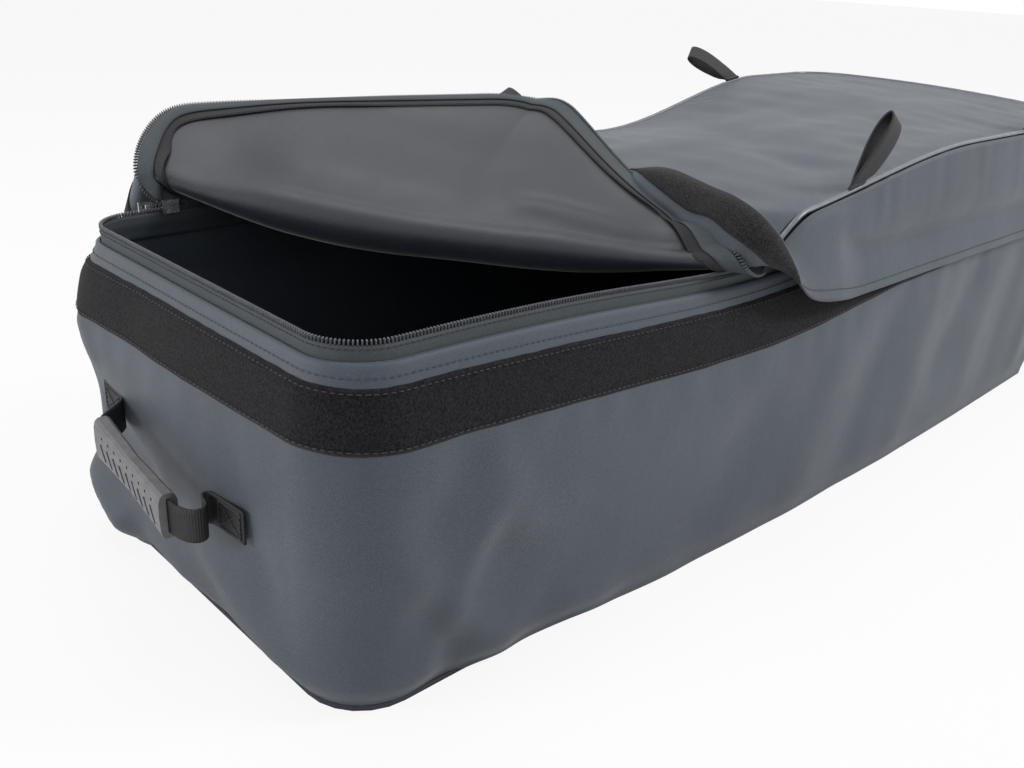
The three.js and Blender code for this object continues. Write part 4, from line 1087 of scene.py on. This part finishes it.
def dress(node, material, bevel=0.0):
    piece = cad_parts[node]
    piece.data.materials.clear()
    piece.data.materials.append(material)
    if bevel:
        edge = piece.modifiers.new("soft_edges", "BEVEL")
        edge.width = bevel * MM
        edge.segments = 2
        edge.limit_method = "ANGLE"
        edge.angle_limit = math.radians(28)


# Stage, lights and camera

FLOOR_REACH = 12.0
FLOOR_WHITE = 0.88
WORLD_LIGHT = 0.42


def stage():
    points = [(x * FLOOR_REACH, y * FLOOR_REACH, 0) for x, y in ((-1, -1), (1, -1), (1, 1), (-1, 1))]
    mesh = bpy.data.meshes.new("floor")
    mesh.from_pydata(points, [], [(0, 1, 2, 3)])
    floor = bpy.data.objects.new("floor", mesh)
    bpy.context.scene.collection.objects.link(floor)
    look = Look("floor_look", (248, 248, 248), 0.9)
    seen = look.tree.nodes.new("ShaderNodeLightPath")
    share = look.math("MULTIPLY", seen.outputs["Is Camera Ray"], FLOOR_WHITE)
    white = look.node("ShaderNodeEmission", Strength=1.0)
    blend = look.node("ShaderNodeMixShader", Fac=share)
    look.tree.links.new(look.shader.outputs["BSDF"], blend.inputs[1])
    look.tree.links.new(white.outputs["Emission"], blend.inputs[2])
    look.tree.links.new(blend.outputs["Shader"], look.tree.nodes["Material Output"].inputs["Surface"])
    mesh.materials.append(look.material)
    world = bpy.data.worlds.new("studio")
    bpy.context.scene.world = world
    world.use_nodes = True
    tree = world.node_tree
    back = tree.nodes["Background"]
    back.inputs["Color"].default_value = (1, 1, 1, 1)
    path = tree.nodes.new("ShaderNodeLightPath")
    seen = tree.nodes.new("ShaderNodeMath")
    seen.operation = "MAXIMUM"
    tree.links.new(path.outputs["Is Camera Ray"], seen.inputs[0])
    tree.links.new(path.outputs["Is Glossy Ray"], seen.inputs[1])
    level = tree.nodes.new("ShaderNodeMapRange")
    tree.links.new(seen.outputs[0], level.inputs["Value"])
    level.inputs["To Min"].default_value = WORLD_LIGHT
    level.inputs["To Max"].default_value = 1.0
    tree.links.new(level.outputs["Result"], back.inputs["Strength"])


def placed(name, data, side, top, back, place):
    """A lamp or camera with its own three axes, at a place in metres."""
    piece = bpy.data.objects.new(name, data)
    turn = np.eye(4)
    turn[:3] = np.stack([side, top, back, place], 1)
    piece.matrix_world = Matrix(turn.tolist())
    bpy.context.scene.collection.objects.link(piece)
    return piece


def lamp(name, place, target, size, power):
    light = bpy.data.lights.new(name, "AREA")
    light.shape = "RECTANGLE"
    light.size, light.size_y = size
    light.energy = power
    place, target = np.array(place), np.array(target)
    back = unit(place - target)
    side = unit(np.cross([0.0, 0.0, 1.0], back))
    placed(name, light, side, np.cross(back, side), back, place)


CAMERA_PLACE = (-827.4, -641.2, 478.9)
CAMERA_YAW, CAMERA_PITCH, CAMERA_ROLL = -43.62, 22.99, 2.53
IMAGE_WIDTH, IMAGE_HEIGHT = 1024, 768
SENSOR = 36.0
FOCAL_PIXELS = 1024.3
PRINCIPAL = (513.9, 382.5)


def camera():
    yaw, pitch, roll = (math.radians(a) for a in (CAMERA_YAW, CAMERA_PITCH, CAMERA_ROLL))
    ahead = np.array([-math.sin(yaw), math.cos(yaw), 0.0])
    right = np.array([math.cos(yaw), math.sin(yaw), 0.0])
    up = np.array([0.0, 0.0, 1.0])
    look = ahead * math.cos(pitch) - up * math.sin(pitch)
    over = ahead * math.sin(pitch) + up * math.cos(pitch)
    side = right * math.cos(roll) + over * math.sin(roll)
    top = -right * math.sin(roll) + over * math.cos(roll)
    data = bpy.data.cameras.new("photo_camera")
    data.sensor_width = SENSOR
    data.sensor_fit = "HORIZONTAL"
    data.lens = SENSOR * FOCAL_PIXELS / IMAGE_WIDTH
    data.shift_x = -(PRINCIPAL[0] - IMAGE_WIDTH / 2) / IMAGE_WIDTH
    data.shift_y = (PRINCIPAL[1] - IMAGE_HEIGHT / 2) / IMAGE_WIDTH
    data.clip_end = 50.0
    place = np.array(CAMERA_PLACE) * MM
    bpy.context.scene.camera = placed("photo_camera", data, side, top, -look, place)


camera()
stage()
lamp("top_light", (-0.3, 0.3, 2.4), (0, 0, 0.2), (1.2, 1.0), 15.0)
lamp("left_light", (-2.6, 0.9, 0.9), (0, 0, 0.2), (0.8, 0.8), 21.0)
lamp("near_light", (1.7, -1.8, 2.2), (0.3, 0, 0.25), (0.9, 0.7), 42.0)

body_walls()
loop_band()
body_zip()
lid_panel()
lid_trim()
lid_zip()
hinge_strip()
storm_flap()
for end in ("left", "right"):
    handle(end)
    dress(f"handle_grip_{end}", grip_look, 0.5)
for index in range(3):
    x = LENGTH / 2 + (index - 1) * LOOP_PITCH
    tie_loop(f"tie_loop_near_{index + 1}", x, -1, NEAR_WAYS[index])
    tie_loop(f"tie_loop_far_{index + 1}", x, 1, FAR_WAYS[index])
dress("base_panel", floor_cloth, 1.0)
for node in ("zip_slider", "zip_puller"):
    dress(node, metal_look, 0.25)
for node in ("zip_stop_closed_end", "zip_stop_body", "zip_stop_lid"):
    dress(node, metal_look, 0.3)

bpy.context.scene.view_settings.view_transform = "Standard"
